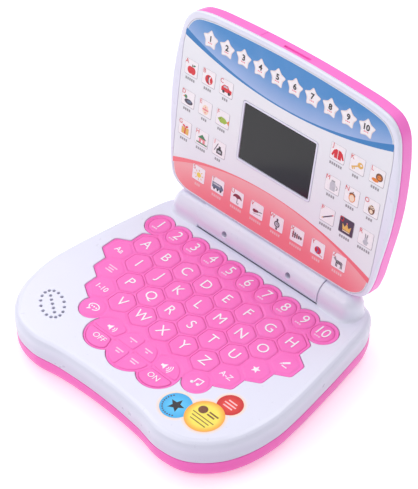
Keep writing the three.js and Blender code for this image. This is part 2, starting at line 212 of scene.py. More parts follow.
def smooth_outline(half: Sequence[Point], count: int) -> Outline:
    """Mirrors a half outline and draws one smooth closed curve through it.

    Args:
        half: points from the middle of the front or lower edge to the middle of the opposite edge.
        count: number of evenly spaced points to return.

    Returns:
        The closed curve, counter-clockwise.
    """
    points = [Vector(p) for p in [*half, *[(-x, y) for x, y in reversed(half[1:-1])]]]
    total = len(points)
    fine: Outline = []
    per_span = 24
    for i in range(total):
        a, b, c, d = (points[(i + shift) % total] for shift in (-1, 0, 1, 2))
        ab, bc, cd = (math.sqrt((q - p).length) for p, q in ((a, b), (b, c), (c, d)))
        leave = ((b - a) / ab - (c - a) / (ab + bc) + (c - b) / bc) * bc
        arrive = ((c - b) / bc - (d - b) / (bc + cd) + (d - c) / cd) * bc
        for step in range(per_span):
            t = step / per_span
            place = (b * (2 * t**3 - 3 * t**2 + 1) + leave * (t**3 - 2 * t**2 + t)
                     + c * (3 * t**2 - 2 * t**3) + arrive * (t**3 - t**2))
            fine.append((place.x, place.y))
    return respaced(fine, count)


def respaced(points: Sequence[Point], count: int) -> Outline:
    """Gives a closed outline a fixed number of evenly spaced points.

    Args:
        points: the closed outline.
        count: number of points wanted.

    Returns:
        The outline with its new points.
    """
    pairs = zip(points, [points[-1], *points])
    distinct = [point for point, before in pairs if math.dist(point, before) > SAME_PLACE]
    closed = [*distinct, distinct[0]]
    travelled = [0.0]
    for start, end in zip(closed, closed[1:]):
        travelled.append(travelled[-1] + math.dist(start, end))
    even: Outline = []
    span = 0
    for i in range(count):
        target = travelled[-1] * i / count
        while travelled[span + 1] < target:
            span += 1
        share = (target - travelled[span]) / (travelled[span + 1] - travelled[span])
        (x0, y0), (x1, y1) = closed[span], closed[span + 1]
        even.append((x0 + (x1 - x0) * share, y0 + (y1 - y0) * share))
    return even


def smooth_levels(levels: Sequence[Point], steps: int = 3) -> list[Point]:
    """Draws a smooth curve through the (height, inset) levels of a wall's section.

    Args:
        levels: the (height, inset) points of the section.
        steps: points drawn for each span.

    Returns:
        The finer section.
    """
    ends = [levels[0], *levels, levels[-1]]
    smooth: list[Point] = []
    for a, b, c, d in zip(ends, ends[1:], ends[2:], ends[3:]):
        for i in range(steps):
            t = i / steps
            smooth.append(tuple(
                0.5 * (2 * q + (r - p) * t + (2 * p - 5 * q + 4 * r - s) * t**2
                       + (3 * q - p - 3 * r + s) * t**3)
                for p, q, r, s in zip(a, b, c, d)))
    return [*smooth, levels[-1]]


# -------- modelling bench


def deselect() -> None:
    """Leaves edit mode and selects nothing."""
    if bpy.context.object and bpy.context.object.mode != "OBJECT":
        bpy.ops.object.mode_set(mode="OBJECT")
    bpy.ops.object.select_all(action="DESELECT")


def take(solid: Solid) -> Solid:
    """Makes one object the only selected and the active one.

    Args:
        solid: the object.

    Returns:
        The same object.
    """
    deselect()
    solid.select_set(True)
    bpy.context.view_layer.objects.active = solid
    return solid


def normals_out(solid: Solid) -> None:
    """Merges doubles and turns every face outwards.

    Args:
        solid: the object.
    """
    take(solid)
    bpy.ops.object.mode_set(mode="EDIT")
    bpy.ops.mesh.select_all(action="SELECT")
    bpy.ops.mesh.remove_doubles(threshold=0.0005)
    bpy.ops.mesh.normals_make_consistent(inside=False)
    bpy.ops.object.mode_set(mode="OBJECT")


def loft_rings(name: str, rings: Sequence[Sequence[tuple[float, float, float]]]) -> Solid:
    """Extrudes a filled circle, shaped to the first ring, through all the other rings.

    Args:
        name: the object's name.
        rings: rings of one length; their points stay paired from ring to ring.

    Returns:
        A closed solid.
    """
    deselect()
    bpy.ops.mesh.primitive_circle_add(vertices=len(rings[0]), radius=1.0, fill_type="NGON")
    solid = bpy.context.object
    solid.name = name
    for vertex, place in zip(solid.data.vertices, rings[0]):
        vertex.co = place
    number = {tuple(vertex.co): i for i, vertex in enumerate(solid.data.vertices)}
    bpy.ops.object.mode_set(mode="EDIT")
    bpy.ops.mesh.select_all(action="SELECT")
    for ring in rings[1:]:
        bpy.ops.mesh.extrude_region_move()
        shaped = bmesh.from_edit_mesh(solid.data)
        fresh = {}
        for vertex in shaped.verts:
            if vertex.select:
                i = number[tuple(vertex.co)]
                vertex.co = ring[i]
                fresh[tuple(vertex.co)] = i
        number = fresh
        bmesh.update_edit_mesh(solid.data)
    bpy.ops.mesh.select_all(action="SELECT")
    bpy.ops.mesh.normals_make_consistent(inside=False)
    bpy.ops.object.mode_set(mode="OBJECT")
    return solid


def loft(name: str, outline: Sequence[Point], levels: Iterable[Point]) -> Solid:
    """A solid through copies of one outline, one at each (height, inset) level."""
    return loft_rings(name, [[(x, y, z) for x, y in inset(outline, amount)] for z, amount in levels])


def prism(name: str, outline: Sequence[Point], z0: float, z1: float) -> Solid:
    """An upright solid of one outline."""
    return loft_rings(name, [[(x, y, z) for x, y in outline] for z in (z0, z1)])


def plate(name: str, outline: Sequence[Point], z0: float, z1: float, edge: float) -> Solid:
    """A prism with a rounded upper edge and a ring of support inside it.

    Args:
        name: the object's name.
        outline: its outline.
        z0: underside.
        z1: top.
        edge: radius of the upper edge.

    Returns:
        The plate.
    """
    levels = [(z0, 0.0), (z1 - edge, 0.0), (z1 - 0.62 * edge, 0.08 * edge), (z1 - 0.29 * edge, 0.29 * edge),
              (z1 - 0.08 * edge, 0.62 * edge), (z1, edge), (z1, edge + 0.12)]
    return loft(name, outline, levels)


def bar(name: str, x0: float, x1: float, y: float, z: float, radius: float, edge: float = 0.0,
        sides: int = 96) -> Solid:
    """A round bar along x with softened ends.

    Args:
        name: the object's name.
        x0: left end.
        x1: right end.
        y: place of the axis.
        z: place of the axis.
        radius: radius of the bar.
        edge: size of the rounding at both ends.
        sides: number of sides round the bar.

    Returns:
        The bar.
    """
    stations = [(x0, radius - edge), (x1, radius - edge)]
    if edge:
        stations = [(x0, radius - edge), (x0 + 0.3 * edge, radius - 0.3 * edge), (x0 + edge, radius),
                    (x1 - edge, radius), (x1 - 0.3 * edge, radius - 0.3 * edge), (x1, radius - edge)]
    return loft_rings(name, [[(x, y + u, z + v) for u, v in circle(0, 0, r, sides)] for x, r in stations])


class Cut(Enum):
    """What a boolean does with the second solid."""

    AWAY = "DIFFERENCE"
    ADD = "UNION"
    KEEP = "INTERSECT"


def combine(solid: Solid, other: Solid, how: Cut) -> Solid:
    """Joins or cuts one solid with another, which is used up.

    Args:
        solid: the solid that is kept.
        other: the solid that is used up.
        how: what happens to the kept one.

    Returns:
        The kept solid.
    """
    take(solid)
    modifier = solid.modifiers.new("cut", "BOOLEAN")
    modifier.operation = how.value
    modifier.object = other
    modifier.solver = "MANIFOLD"
    bpy.ops.object.modifier_apply(modifier=modifier.name)
    bpy.data.objects.remove(other)
    return solid


def joined(name: str, solids: Sequence[Solid]) -> Solid:
    """Puts several meshes into one object without cutting them.

    Args:
        name: the new object's name.
        solids: the objects, which are used up.

    Returns:
        The new object.
    """
    take(solids[0])
    for solid in solids:
        solid.select_set(True)
    if len(solids) > 1:
        bpy.ops.object.join()
    whole = bpy.context.object
    whole.name = name
    return whole


def copied(solid: Solid, name: str, move: Matrix) -> Solid:
    """A copy with its own mesh, moved by a matrix.

    Args:
        solid: the pattern.
        name: the copy's name.
        move: what puts the copy in its place.

    Returns:
        The copy.
    """
    twin = solid.copy()
    twin.data = solid.data.copy()
    twin.name = name
    twin.data.transform(move)
    bpy.context.scene.collection.objects.link(twin)
    return twin


def lettering(name: str, words: str, height: float, x: float, y: float, z: float,
              thick: float = 0.08, weight: float = 0.0) -> Solid:
    """Plain raised letters lying in the xy plane.

    Args:
        name: the object's name.
        words: what is written.
        height: height of a capital.
        x: middle of the writing.
        y: middle of the writing.
        z: underside of the letters.
        thick: how far they stand up.
        weight: how much the strokes are thickened on each side.

    Returns:
        The letters as one mesh.
    """
    deselect()
    bpy.ops.object.text_add()
    text = bpy.context.object
    text.data.body = words
    text.data.size = height / CAPITAL_SHARE
    text.data.extrude = thick / 2
    text.data.offset = weight
    text.data.resolution_u = 4
    bpy.ops.object.convert(target="MESH")
    letters = bpy.context.object
    letters.name = name
    xs, ys = ([v.co[axis] for v in letters.data.vertices] for axis in (0, 1))
    middle = Vector(((min(xs) + max(xs)) / 2, (min(ys) + max(ys)) / 2, -thick / 2))
    letters.data.transform(Matrix.Translation(Vector((x, y, z)) - middle))
    return letters


def smooth(solid: Solid, degrees: float = 38.0) -> None:
    """Shades smooth, keeps creases sharper than an angle, and lets broad faces stay flat.

    Args:
        solid: the object.
        degrees: edges sharper than this stay creased.
    """
    take(solid)
    bpy.ops.object.shade_smooth_by_angle(angle=math.radians(degrees))
    modifier = solid.modifiers.new("weights", "WEIGHTED_NORMAL")
    modifier.keep_sharp = True
    modifier.weight = 90
    bpy.ops.object.modifier_apply(modifier=modifier.name)


# -------- finishes


class Nodes:
    """A material's node tree, with short ways to add and link nodes."""

    def __init__(self, name: str) -> None:
        """Starts an empty material with a Principled surface.

        Args:
            name: the material's name.
        """
        self.material = bpy.data.materials.new(name)
        self.material.use_nodes = True
        self.tree = self.material.node_tree
        self.surface = self.tree.nodes["Principled BSDF"]

    def add(self, kind: str, **values: object) -> bpy.types.Node:
        """Adds a node; values name its inputs (spaces as underscores) or its own settings.

        Args:
            kind: the node's type.
            values: its inputs and settings.

        Returns:
            The node.
        """
        node = self.tree.nodes.new(kind)
        for key, value in values.items():
            label = key.replace("_", " ").title()
            if hasattr(node, key):
                setattr(node, key, value)
            else:
                node.inputs[label].default_value = value
        return node

    def link(self, start: Socket, end: Socket) -> None:
        """Links two sockets."""
        self.tree.links.new(start, end)

    def place(self) -> Socket:
        """The point being shaded, in the object's own metres."""
        return self.add("ShaderNodeTexCoord").outputs["Object"]

    def in_frame(self, origin: Vector, lean: float) -> Socket:
        """The point being shaded, in a frame turned about x and moved to an origin.

        Args:
            origin: the frame's origin.
            lean: its turn about x.

        Returns:
            The point's socket.
        """
        mapping = self.add("ShaderNodeMapping", vector_type="TEXTURE")
        mapping.inputs["Location"].default_value = origin
        mapping.inputs["Rotation"].default_value = (lean, 0, 0)
        self.link(self.place(), mapping.inputs["Vector"])
        return mapping.outputs["Vector"]

    def noise(self, scale: float, detail: float = 2.0) -> Socket:
        """Noise of some many grains per metre.

        Args:
            scale: grains per metre.
            detail: how many finer layers are added.

        Returns:
            The noise's socket.
        """
        node = self.add("ShaderNodeTexNoise", scale=scale, detail=detail)
        self.link(self.place(), node.inputs["Vector"])
        return node.outputs["Fac"]

    def spread(self, value: Socket, low: float, high: float,
               start: float = 0.3, end: float = 0.7) -> Socket:
        """Maps a value from start..end to low..high, held at both ends.

        Args:
            value: the socket to map.
            low: result at the start.
            high: result at the end.
            start: where the mapping starts.
            end: where it ends.

        Returns:
            The result's socket.
        """
        node = self.add("ShaderNodeMapRange")
        for label, number in (("From Min", start), ("From Max", end), ("To Min", low), ("To Max", high)):
            node.inputs[label].default_value = number
        self.link(value, node.inputs["Value"])
        return node.outputs["Result"]

    def blend(self, share: Socket, first: object, second: object) -> Socket:
        """Mixes two colours or colour sockets by a share.

        Args:
            share: how much of the second colour shows.
            first: a colour or a socket.
            second: a colour or a socket.

        Returns:
            The mixed colour's socket.
        """
        node = self.add("ShaderNodeMix", data_type="RGBA")
        self.link(share, node.inputs["Factor"])
        for socket, colour in ((node.inputs[6], first), (node.inputs[7], second)):
            if isinstance(colour, Socket):
                self.link(colour, socket)
            else:
                socket.default_value = (*linear(colour), 1.0)
        return node.outputs[2]

    def arithmetic(self, kind: str, first: object, second: object) -> Socket:
        """A Math node of some operation on two numbers or sockets.

        Args:
            kind: the operation.
            first: a number or a socket.
            second: a number or a socket.

        Returns:
            The result's socket.
        """
        node = self.add("ShaderNodeMath", operation=kind)
        for socket, value in zip(node.inputs, (first, second)):
            if isinstance(value, Socket):
                self.link(value, socket)
            else:
                socket.default_value = value
        return node.outputs[0]

    def bump(self, height: Socket, depth: float, strength: float) -> None:
        """Makes the surface's relief.

        Args:
            height: the socket of the relief.
            depth: its depth in metres.
            strength: how strongly it shows.
        """
        node = self.add("ShaderNodeBump", strength=strength, distance=depth)
        self.link(height, node.inputs["Height"])
        self.link(node.outputs["Normal"], self.surface.inputs["Normal"])


def linear(colour: Sequence[float]) -> Colour:
    """Turns a colour of 0 to 255 screen values into scene-linear ones."""
    return tuple(
        (c / 255 / 12.92) if c / 255 <= 0.04045 else ((c / 255 + 0.055) / 1.055) ** 2.4 for c in colour)


@dataclass(frozen=True)
class Finish:
    """A moulded or printed surface: two close tones, uneven gloss and a fine grain."""

    name: str
    slot: str
    tone: Colour
    second: Colour
    roughness: float = 0.35
    uneven: float = 0.06
    tone_scale: float = 30.0
    grain_scale: float = 2600.0
    grain_depth: float = 0.00003
    grain_strength: float = 0.08
    metallic: float = 0.0
    coat: float = 0.0
    glow_through: float = 0.0
    shine: float = 0.5

    def colour_socket(self, nodes: Nodes) -> Socket:
        """The surface's colour; patterned finishes draw theirs here."""
        share = nodes.spread(nodes.noise(self.tone_scale, 3.0), 0.0, 1.0)
        return nodes.blend(share, self.tone, self.second)

    def made(self) -> bpy.types.Material:
        """The material, made once and kept by name.

        Returns:
            The material.
        """
        found = bpy.data.materials.get(self.name)
        if found:
            return found
        nodes = Nodes(self.name)
        surface = nodes.surface.inputs
        nodes.link(self.colour_socket(nodes), surface["Base Color"])
        gloss = nodes.spread(nodes.noise(self.tone_scale * 6, 4.0),
                             self.roughness - self.uneven, self.roughness + self.uneven)
        nodes.link(gloss, surface["Roughness"])
        surface["Metallic"].default_value = self.metallic
        surface["Specular IOR Level"].default_value = self.shine
        surface["Coat Weight"].default_value = self.coat
        surface["Coat Roughness"].default_value = 0.12
        if self.glow_through:
            surface["Subsurface Weight"].default_value = self.glow_through
            surface["Subsurface Radius"].default_value = (1.0, 0.45, 0.6)
            surface["Subsurface Scale"].default_value = 0.0012
        nodes.bump(nodes.noise(self.grain_scale, 3.0), self.grain_depth, self.grain_strength)
        nodes.material.diffuse_color = (*linear(self.tone), 1.0)
        return nodes.material


@dataclass(frozen=True)
class ArcPrint(Finish):
    """A printed field that fades with the distance from the middle of its bordering arc."""

    hinge: tuple[float, float, float] = (0.0, 0.0, 0.0)
    centre: float = 0.0
    near: float = 0.0
    far: float = 1.0

    def colour_socket(self, nodes: Nodes) -> Socket:
        """Mixes the two tones along the arc's radius, with a faint mottle.

        Args:
            nodes: the material's nodes.

        Returns:
            The colour's socket.
        """
        point = nodes.in_frame(Vector(self.hinge), LID_LEAN)
        apart = nodes.add("ShaderNodeVectorMath", operation="DISTANCE")
        flat = nodes.add("ShaderNodeVectorMath", operation="MULTIPLY")
        flat.inputs[1].default_value = (1, 1, 0)
        nodes.link(point, flat.inputs[0])
        nodes.link(flat.outputs[0], apart.inputs[0])
        apart.inputs[1].default_value = (0, self.centre * MM, 0)
        share = nodes.spread(apart.outputs["Value"], 0.0, 1.0, self.near * MM, self.far * MM)
        ease = nodes.arithmetic("POWER", share, 1.3)
        mottle = nodes.spread(nodes.noise(self.tone_scale, 3.0), -0.05, 0.05)
        return nodes.blend(nodes.arithmetic("ADD", ease, mottle), self.tone, self.second)


@dataclass(frozen=True)
class HaloPrint(Finish):
    """A printed glow round a point of the base's top, fading outwards."""

    middle: tuple[float, float, float] = (0.0, 0.0, 0.0)
    near: float = 0.0
    far: float = 1.0

    def colour_socket(self, nodes: Nodes) -> Socket:
        """Mixes the two tones along the radius.

        Args:
            nodes: the material's nodes.

        Returns:
            The colour's socket.
        """
        apart = nodes.add("ShaderNodeVectorMath", operation="DISTANCE")
        nodes.link(nodes.place(), apart.inputs[0])
        apart.inputs[1].default_value = self.middle
        share = nodes.spread(apart.outputs["Value"], 0.0, 1.0, self.near * MM, self.far * MM)
        mottle = nodes.spread(nodes.noise(self.tone_scale, 3.0), -0.04, 0.04)
        return nodes.blend(nodes.arithmetic("ADD", share, mottle), self.tone, self.second)


@dataclass(frozen=True)
class HeightShade(Finish):
    """A moulded surface with painted shade: its side walls are painted in a darker tone than its top."""

    high: float = 1.0
    low: float = 0.0

    def colour_socket(self, nodes: Nodes) -> Socket:
        """Mixes the two tones by height, with a faint mottle; the darker low tone is painted shade.

        Args:
            nodes: the material's nodes.

        Returns:
            The colour's socket.
        """
        split = nodes.add("ShaderNodeSeparateXYZ")
        nodes.link(nodes.place(), split.inputs[0])
        share = nodes.spread(split.outputs["Z"], 1.0, 0.0, self.low, self.high)
        mottle = nodes.spread(nodes.noise(self.tone_scale, 3.0), -0.04, 0.04)
        ease = nodes.arithmetic("POWER", share, 0.6)
        return nodes.blend(nodes.arithmetic("ADD", ease, mottle), self.tone, self.second)


@dataclass(frozen=True)
class TrackedBoard(Finish):
    """A circuit board: fine copper tracks under green lacquer."""

    def colour_socket(self, nodes: Nodes) -> Socket:
        """Draws the tracks as the joints of a brick pattern.

        Args:
            nodes: the material's nodes.

        Returns:
            The colour's socket.
        """
        bricks = nodes.add("ShaderNodeTexBrick", scale=120.0, mortar_size=0.06)
        nodes.link(nodes.place(), bricks.inputs["Vector"])
        return nodes.blend(bricks.outputs["Fac"], self.tone, self.second)


WHITE = Finish("white_glossy_shell", "white_shell", (235, 235, 250), (230, 230, 248), 0.32, 0.05, coat=0.25)
PINK_SHELL = Finish("pink_glossy_shell", "pink_shell", (255, 124, 212), (253, 114, 207), 0.34, 0.05, coat=0.2)
# A darker copy of the pink shell plastic: painted shade for the bottom shell and battery door.
PINK_SHELL_PAINTED_SHADE = Finish("deep_pink_glossy_shell", "pink_shell", (246, 94, 190), (241, 84, 184), 0.34, 0.05,
                    coat=0.2)
PINK_RUBBER = Finish("pink_keypad_rubber", "pink_keypad", (255, 122, 204), (255, 114, 199), 0.5, 0.05,
                     grain_depth=0.00004, glow_through=0.12)
# Painted shadow of the key letters: a darker pink copy under each white letter.
LETTER_PAINTED_SHADOW = Finish("key_letter_shade", "pink_keypad", (232, 96, 170), (226, 88, 164), 0.5, 0.05, 300.0)
KEY_INK = Finish("white_key_ink", "pink_keypad", (255, 250, 255), (252, 240, 252), 0.5, 0.05, 300.0)
FAINT_INK = Finish("worn_white_key_ink", "pink_keypad", (255, 224, 244), (255, 190, 228), 0.55, 0.05, 900.0)
PANEL = Finish("printed_panel_card", "picture_print", (240, 241, 246), (237, 238, 245), 0.42, 0.05)
WINDOW = Finish("smoked_window", "dark_window", (30, 30, 34), (25, 25, 29), 0.13, 0.03, grain_strength=0.03,
                shine=0.4)
STEEL = Finish("zinc_screw_steel", "bare_steel", (176, 176, 182), (140, 140, 148), 0.34, 0.1, 400.0,
               metallic=1.0)
DARK_STEEL = Finish("dim_screw_steel", "bare_steel", (112, 106, 124), (84, 80, 96), 0.42, 0.1, 500.0,
                    metallic=0.6)
BOARD = TrackedBoard("green_circuit_board", "circuit_board", (34, 112, 66), (120, 132, 60), 0.45)
FILM = Finish("contact_film", "contact_film", (214, 220, 226), (190, 198, 208), 0.3, 0.08, 140.0)
SPEAKER = Finish("black_speaker_frame", "speaker_frame", (40, 40, 44), (28, 28, 32), 0.6, 0.1, 200.0)
CELL_CASE = Finish("battery_sleeve", "battery_case", (46, 66, 122), (38, 54, 104), 0.32, 0.08, 90.0)
FOOT = Finish("grey_foot_rubber", "foot_rubber", (74, 74, 80), (60, 60, 66), 0.85, 0.05, 300.0)


class Ink(Enum):
    """Printing inks of the panel and the sticker, as two close tones each."""

    WHITE = ((252, 248, 250), (246, 240, 246))
    SHADE = ((176, 172, 182), (188, 184, 194))
    GREY = ((150, 148, 154), (168, 166, 172))
    PALE = ((205, 204, 212), (190, 190, 200))
    BLACK = ((36, 34, 40), (52, 50, 56))
    SLATE = ((64, 54, 74), (80, 66, 88))
    RED = ((228, 44, 58), (212, 34, 48))
    ROSE = ((238, 120, 136), (244, 150, 160))
    WINE = ((128, 34, 58), (150, 44, 66))
    ORANGE = ((238, 142, 62), (230, 126, 48))
    GOLD = ((236, 190, 104), (228, 176, 82))
    YELLOW = ((248, 222, 96), (244, 210, 70))
    CREAM = ((250, 228, 206), (246, 218, 190))
    GREEN = ((74, 140, 96), (58, 122, 80))
    LIME = ((168, 196, 72), (150, 182, 58))
    BLUE = ((70, 146, 206), (56, 128, 190))
    STEELY = ((110, 124, 148), (90, 102, 128))
    BROWN = ((134, 84, 54), (112, 68, 44))
    VIOLET = ((128, 94, 158), (108, 76, 138))
    CAPTION = ((252, 206, 208), (250, 192, 196))
    PEACH = ((240, 226, 224), (238, 220, 216))

    def finish(self) -> Finish:
        """The printed finish of this ink."""
        return Finish(f"ink_{self.name.lower()}", "picture_print", *self.value, 0.45, 0.05, 700.0)


# -------- the frame's own places


class Place(Enum):
    """Which flat frame a shape was drawn in."""

    BASE = "base"
    LID = "lid"


@dataclass
class Datum:
    """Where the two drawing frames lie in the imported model."""

    key_top: float = -0.3
    base: Vector = field(init=False)
    hinge: Vector = field(init=False)

    def __post_init__(self) -> None:
        """Reads the key row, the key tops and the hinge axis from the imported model."""
        low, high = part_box("key_A")
        self.base = Vector((0.0, (low.y + high.y) / 2, high.z - self.key_top * MM))
        barrel_low, barrel_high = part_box("hinge_pin_left")
        self.hinge = (barrel_low + barrel_high) / 2
        self.hinge.x = 0.0

    def matrix(self, place: Place) -> Matrix:
        """The matrix that takes a drawing frame's millimetres to the model's metres.

        Args:
            place: the drawing frame.

        Returns:
            The matrix.
        """
        if place is Place.BASE:
            return Matrix.Translation(self.base) @ Matrix.Scale(MM, 4)
        return Matrix.Translation(self.hinge) @ Matrix.Rotation(LID_LEAN, 4, "X") @ Matrix.Scale(MM, 4)

    def drawn(self, point: Vector) -> Vector:
        """A point of the model, in the base frame's millimetres."""
        return (point - self.base) / MM


@dataclass
class Workshop:
    """Dresses finished shapes, puts them in place and hands them to the frame."""

    datum: Datum
    made: list[str] = field(default_factory=list)

    def paint(self, solid: Solid, finish: Finish) -> Solid:
        """Gives a shape one finish all over.

        Args:
            solid: the shape.
            finish: its finish.

        Returns:
            The same shape.
        """
        solid.data.materials.clear()
        solid.data.materials.append(finish.made())
        for face in solid.data.polygons:
            face.material_index = 0
        return solid

    def deliver(self, solid: Solid, name: str, body: str, slot: str,
                stands_for: Sequence[str] = (), crease: float = 38.0) -> Solid:
        """Finishes a piece and attaches it.

        Args:
            solid: the shape, in its drawing frame, already painted.
            name: the piece's name.
            body: the body that it moves with; the lid is drawn in its own frame.
            slot: the record's material slot; not used.
            stands_for: the model's nodes that it replaces.
            crease: edges sharper than this angle stay sharp.

        Returns:
            The piece.
        """
        smooth(solid, crease)
        solid.name = name
        solid.data.name = name
        place = Place.LID if body == Place.LID.value else Place.BASE
        solid.data.transform(self.datum.matrix(place))
        solid.data.update()
        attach(solid, body)
        if stands_for:
            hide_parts(*stands_for)
        self.made.append(name)
        log.info("%s: %d faces on %s", name, len(solid.data.polygons), body)
        return solid


# -------- keypad


class KeyShape(Enum):
    """Outline of a key."""

    HEX = "hex"
    ROUND = "round"


@dataclass(frozen=True)
class Cell:
    """One cell of the keypad."""

    name: str
    x: float
    y: float
    shape: KeyShape
    size: float

    def outline(self, grow: float = 0.0) -> Outline:
        """The cell's outline, grown on all sides; size is across flats or the radius.

        Args:
            grow: how far it is grown.

        Returns:
            The outline.
        """
        if self.shape is KeyShape.HEX:
            return hexagon(self.x, self.y, self.size + 2 * grow)
        return circle(self.x, self.y, self.size + grow)


@dataclass
class KeypadLayout:
    """Where the cells lie and how large the mat's border round them is."""

    pitch: float = 19.0
    number_pitch: float = 16.6
    number_row: float = 19.8
    hex_cap: float = 17.5
    number_radius: float = 7.75
    hex_border: float = 22.0
    scallop: float = 10.8
    ear: Cell = Cell("ear", 47.5, -65.7, KeyShape.ROUND, 8.6)
    ear_border: float = 10.2
    lobe: Cell = Cell("lobe", 24.3, -76.0, KeyShape.ROUND, 13.4)
    lobe_border: float = 15.0
    dial: Cell = Cell("dial", 0.0, -75.6, KeyShape.ROUND, 15.9)
    dial_border: float = 17.5
    split: float = 0.8
    rows: tuple[str, ...] = ("ABCDEFGH", "IJKLMNO", "PQRSTU", "VWXYZ")

    def row_y(self, row: int) -> float:
        """Centre line of a letter row."""
        return -row * self.pitch * math.sin(math.pi / 3)

    def letters(self) -> list[Cell]:
        """The letter keys.

        Returns:
            The cells.
        """
        cells = []
        for row, letters in enumerate(self.rows):
            first = -(len(letters) - 1) / 2
            cells += [Cell(letter, (first + i) * self.pitch, self.row_y(row), KeyShape.HEX, self.hex_cap)
                      for i, letter in enumerate(letters)]
        return cells

    def numbers(self) -> list[Cell]:
        """The number keys.

        Returns:
            The cells.
        """
        places = [(i - 4.5) * self.number_pitch for i in range(10)]
        return [Cell(str(i), x, self.number_row, KeyShape.ROUND, self.number_radius)
                for i, x in enumerate(places, start=1)]

    def sides(self) -> list[Cell]:
        """The keys at the two ends of the lower rows, moulded in one with the mat.

        Returns:
            The cells.
        """
        cells = []
        for row in (1, 2, 3):
            reach = (len(self.rows[row]) + 1) / 2 * self.pitch
            cells += [Cell(f"side_{row}_{word}", sign * reach, self.row_y(row), KeyShape.HEX, self.hex_cap)
                      for word, sign in (("left", -1), ("right", 1))]
        return cells

    def border(self) -> list[Outline]:
        """The overlapping outlines that make the mat's scalloped edge.

        Returns:
            The outlines.
        """
        cells = [hexagon(cell.x, cell.y, self.hex_border) for cell in (*self.letters(), *self.sides())]
        cells += [circle(cell.x, cell.y, self.scallop, 72) for cell in self.numbers()]
        for sign in (-1, 1):
            cells.append(circle(sign * self.ear.x, self.ear.y, self.ear_border, 64))
            cells.append(circle(sign * self.lobe.x, self.lobe.y, self.lobe_border, 84))
        cells.append(circle(self.dial.x, self.dial.y, self.dial_border, 96))
        cells.append(rectangle(-68, 68, 0, 21))
        cells.append(rectangle(-45, 45, -70, -51))
        return cells

    def border_solid(self, name: str, levels: Sequence[Point]) -> Solid:
        """One solid of the whole scalloped shape; levels are (height, inset), negative insets growing it.

        Args:
            name: the solid's name.
            levels: the section of its edge.

        Returns:
            The solid.
        """
        first, *others = [loft(name, outline, levels) for outline in self.border()]
        for other in others:
            combine(first, other, Cut.ADD)
        return first

    def half_lobe(self, sign: int, lower: bool, grow: float = 0.0) -> Outline:
        """Half of a power lobe beside the dial, its corners rounded.

        Args:
            sign: -1 for the left lobe, 1 for the right one.
            lower: the half nearer the front.
            grow: how far the outline is grown.

        Returns:
            The outline, counter-clockwise.
        """
        radius = self.lobe.size + grow
        keep_out = self.dial_border - grow
        turns = [math.radians(180 + 180 * i / 60) if lower else math.radians(180 * i / 60) for i in range(61)]
        edge = self.lobe.y + (-1 if lower else 1) * (self.split - grow)
        points: Outline = []
        for turn in turns:
            x, y = self.lobe.x + radius * math.cos(turn), self.lobe.y + radius * math.sin(turn)
            y = min(y, edge) if lower else max(y, edge)
            reach = math.sqrt(max(0.0, keep_out**2 - (y - self.dial.y) ** 2))
            points.append((max(x, reach), y))
        whole = respaced([(sign * x, y) for x, y in points], 84)
        return soften(whole if sign > 0 else whole[::-1], 16)

    def quarter(self, right: int, upper: int) -> Outline:
        """A quarter of the round dial; the two upper ones are cut straight under the last letter row.

        Args:
            right: 1 for the right half, -1 for the left one.
            upper: 1 for the half away from the front, -1 for the other.

        Returns:
            The outline, counter-clockwise.
        """
        radius = self.dial.size
        points = [(self.split, self.split)]
        for i in range(31):
            turn = math.radians(3 * i)
            points.append((max(radius * math.cos(turn), self.split),
                           max(radius * math.sin(turn), self.split)))
        top = 13.0 if upper > 0 else radius
        points = [(right * x, upper * min(y, top) + self.dial.y) for x, y in points]
        if right * upper < 0:
            points = points[::-1]
        return soften(respaced(points, 80), 14)


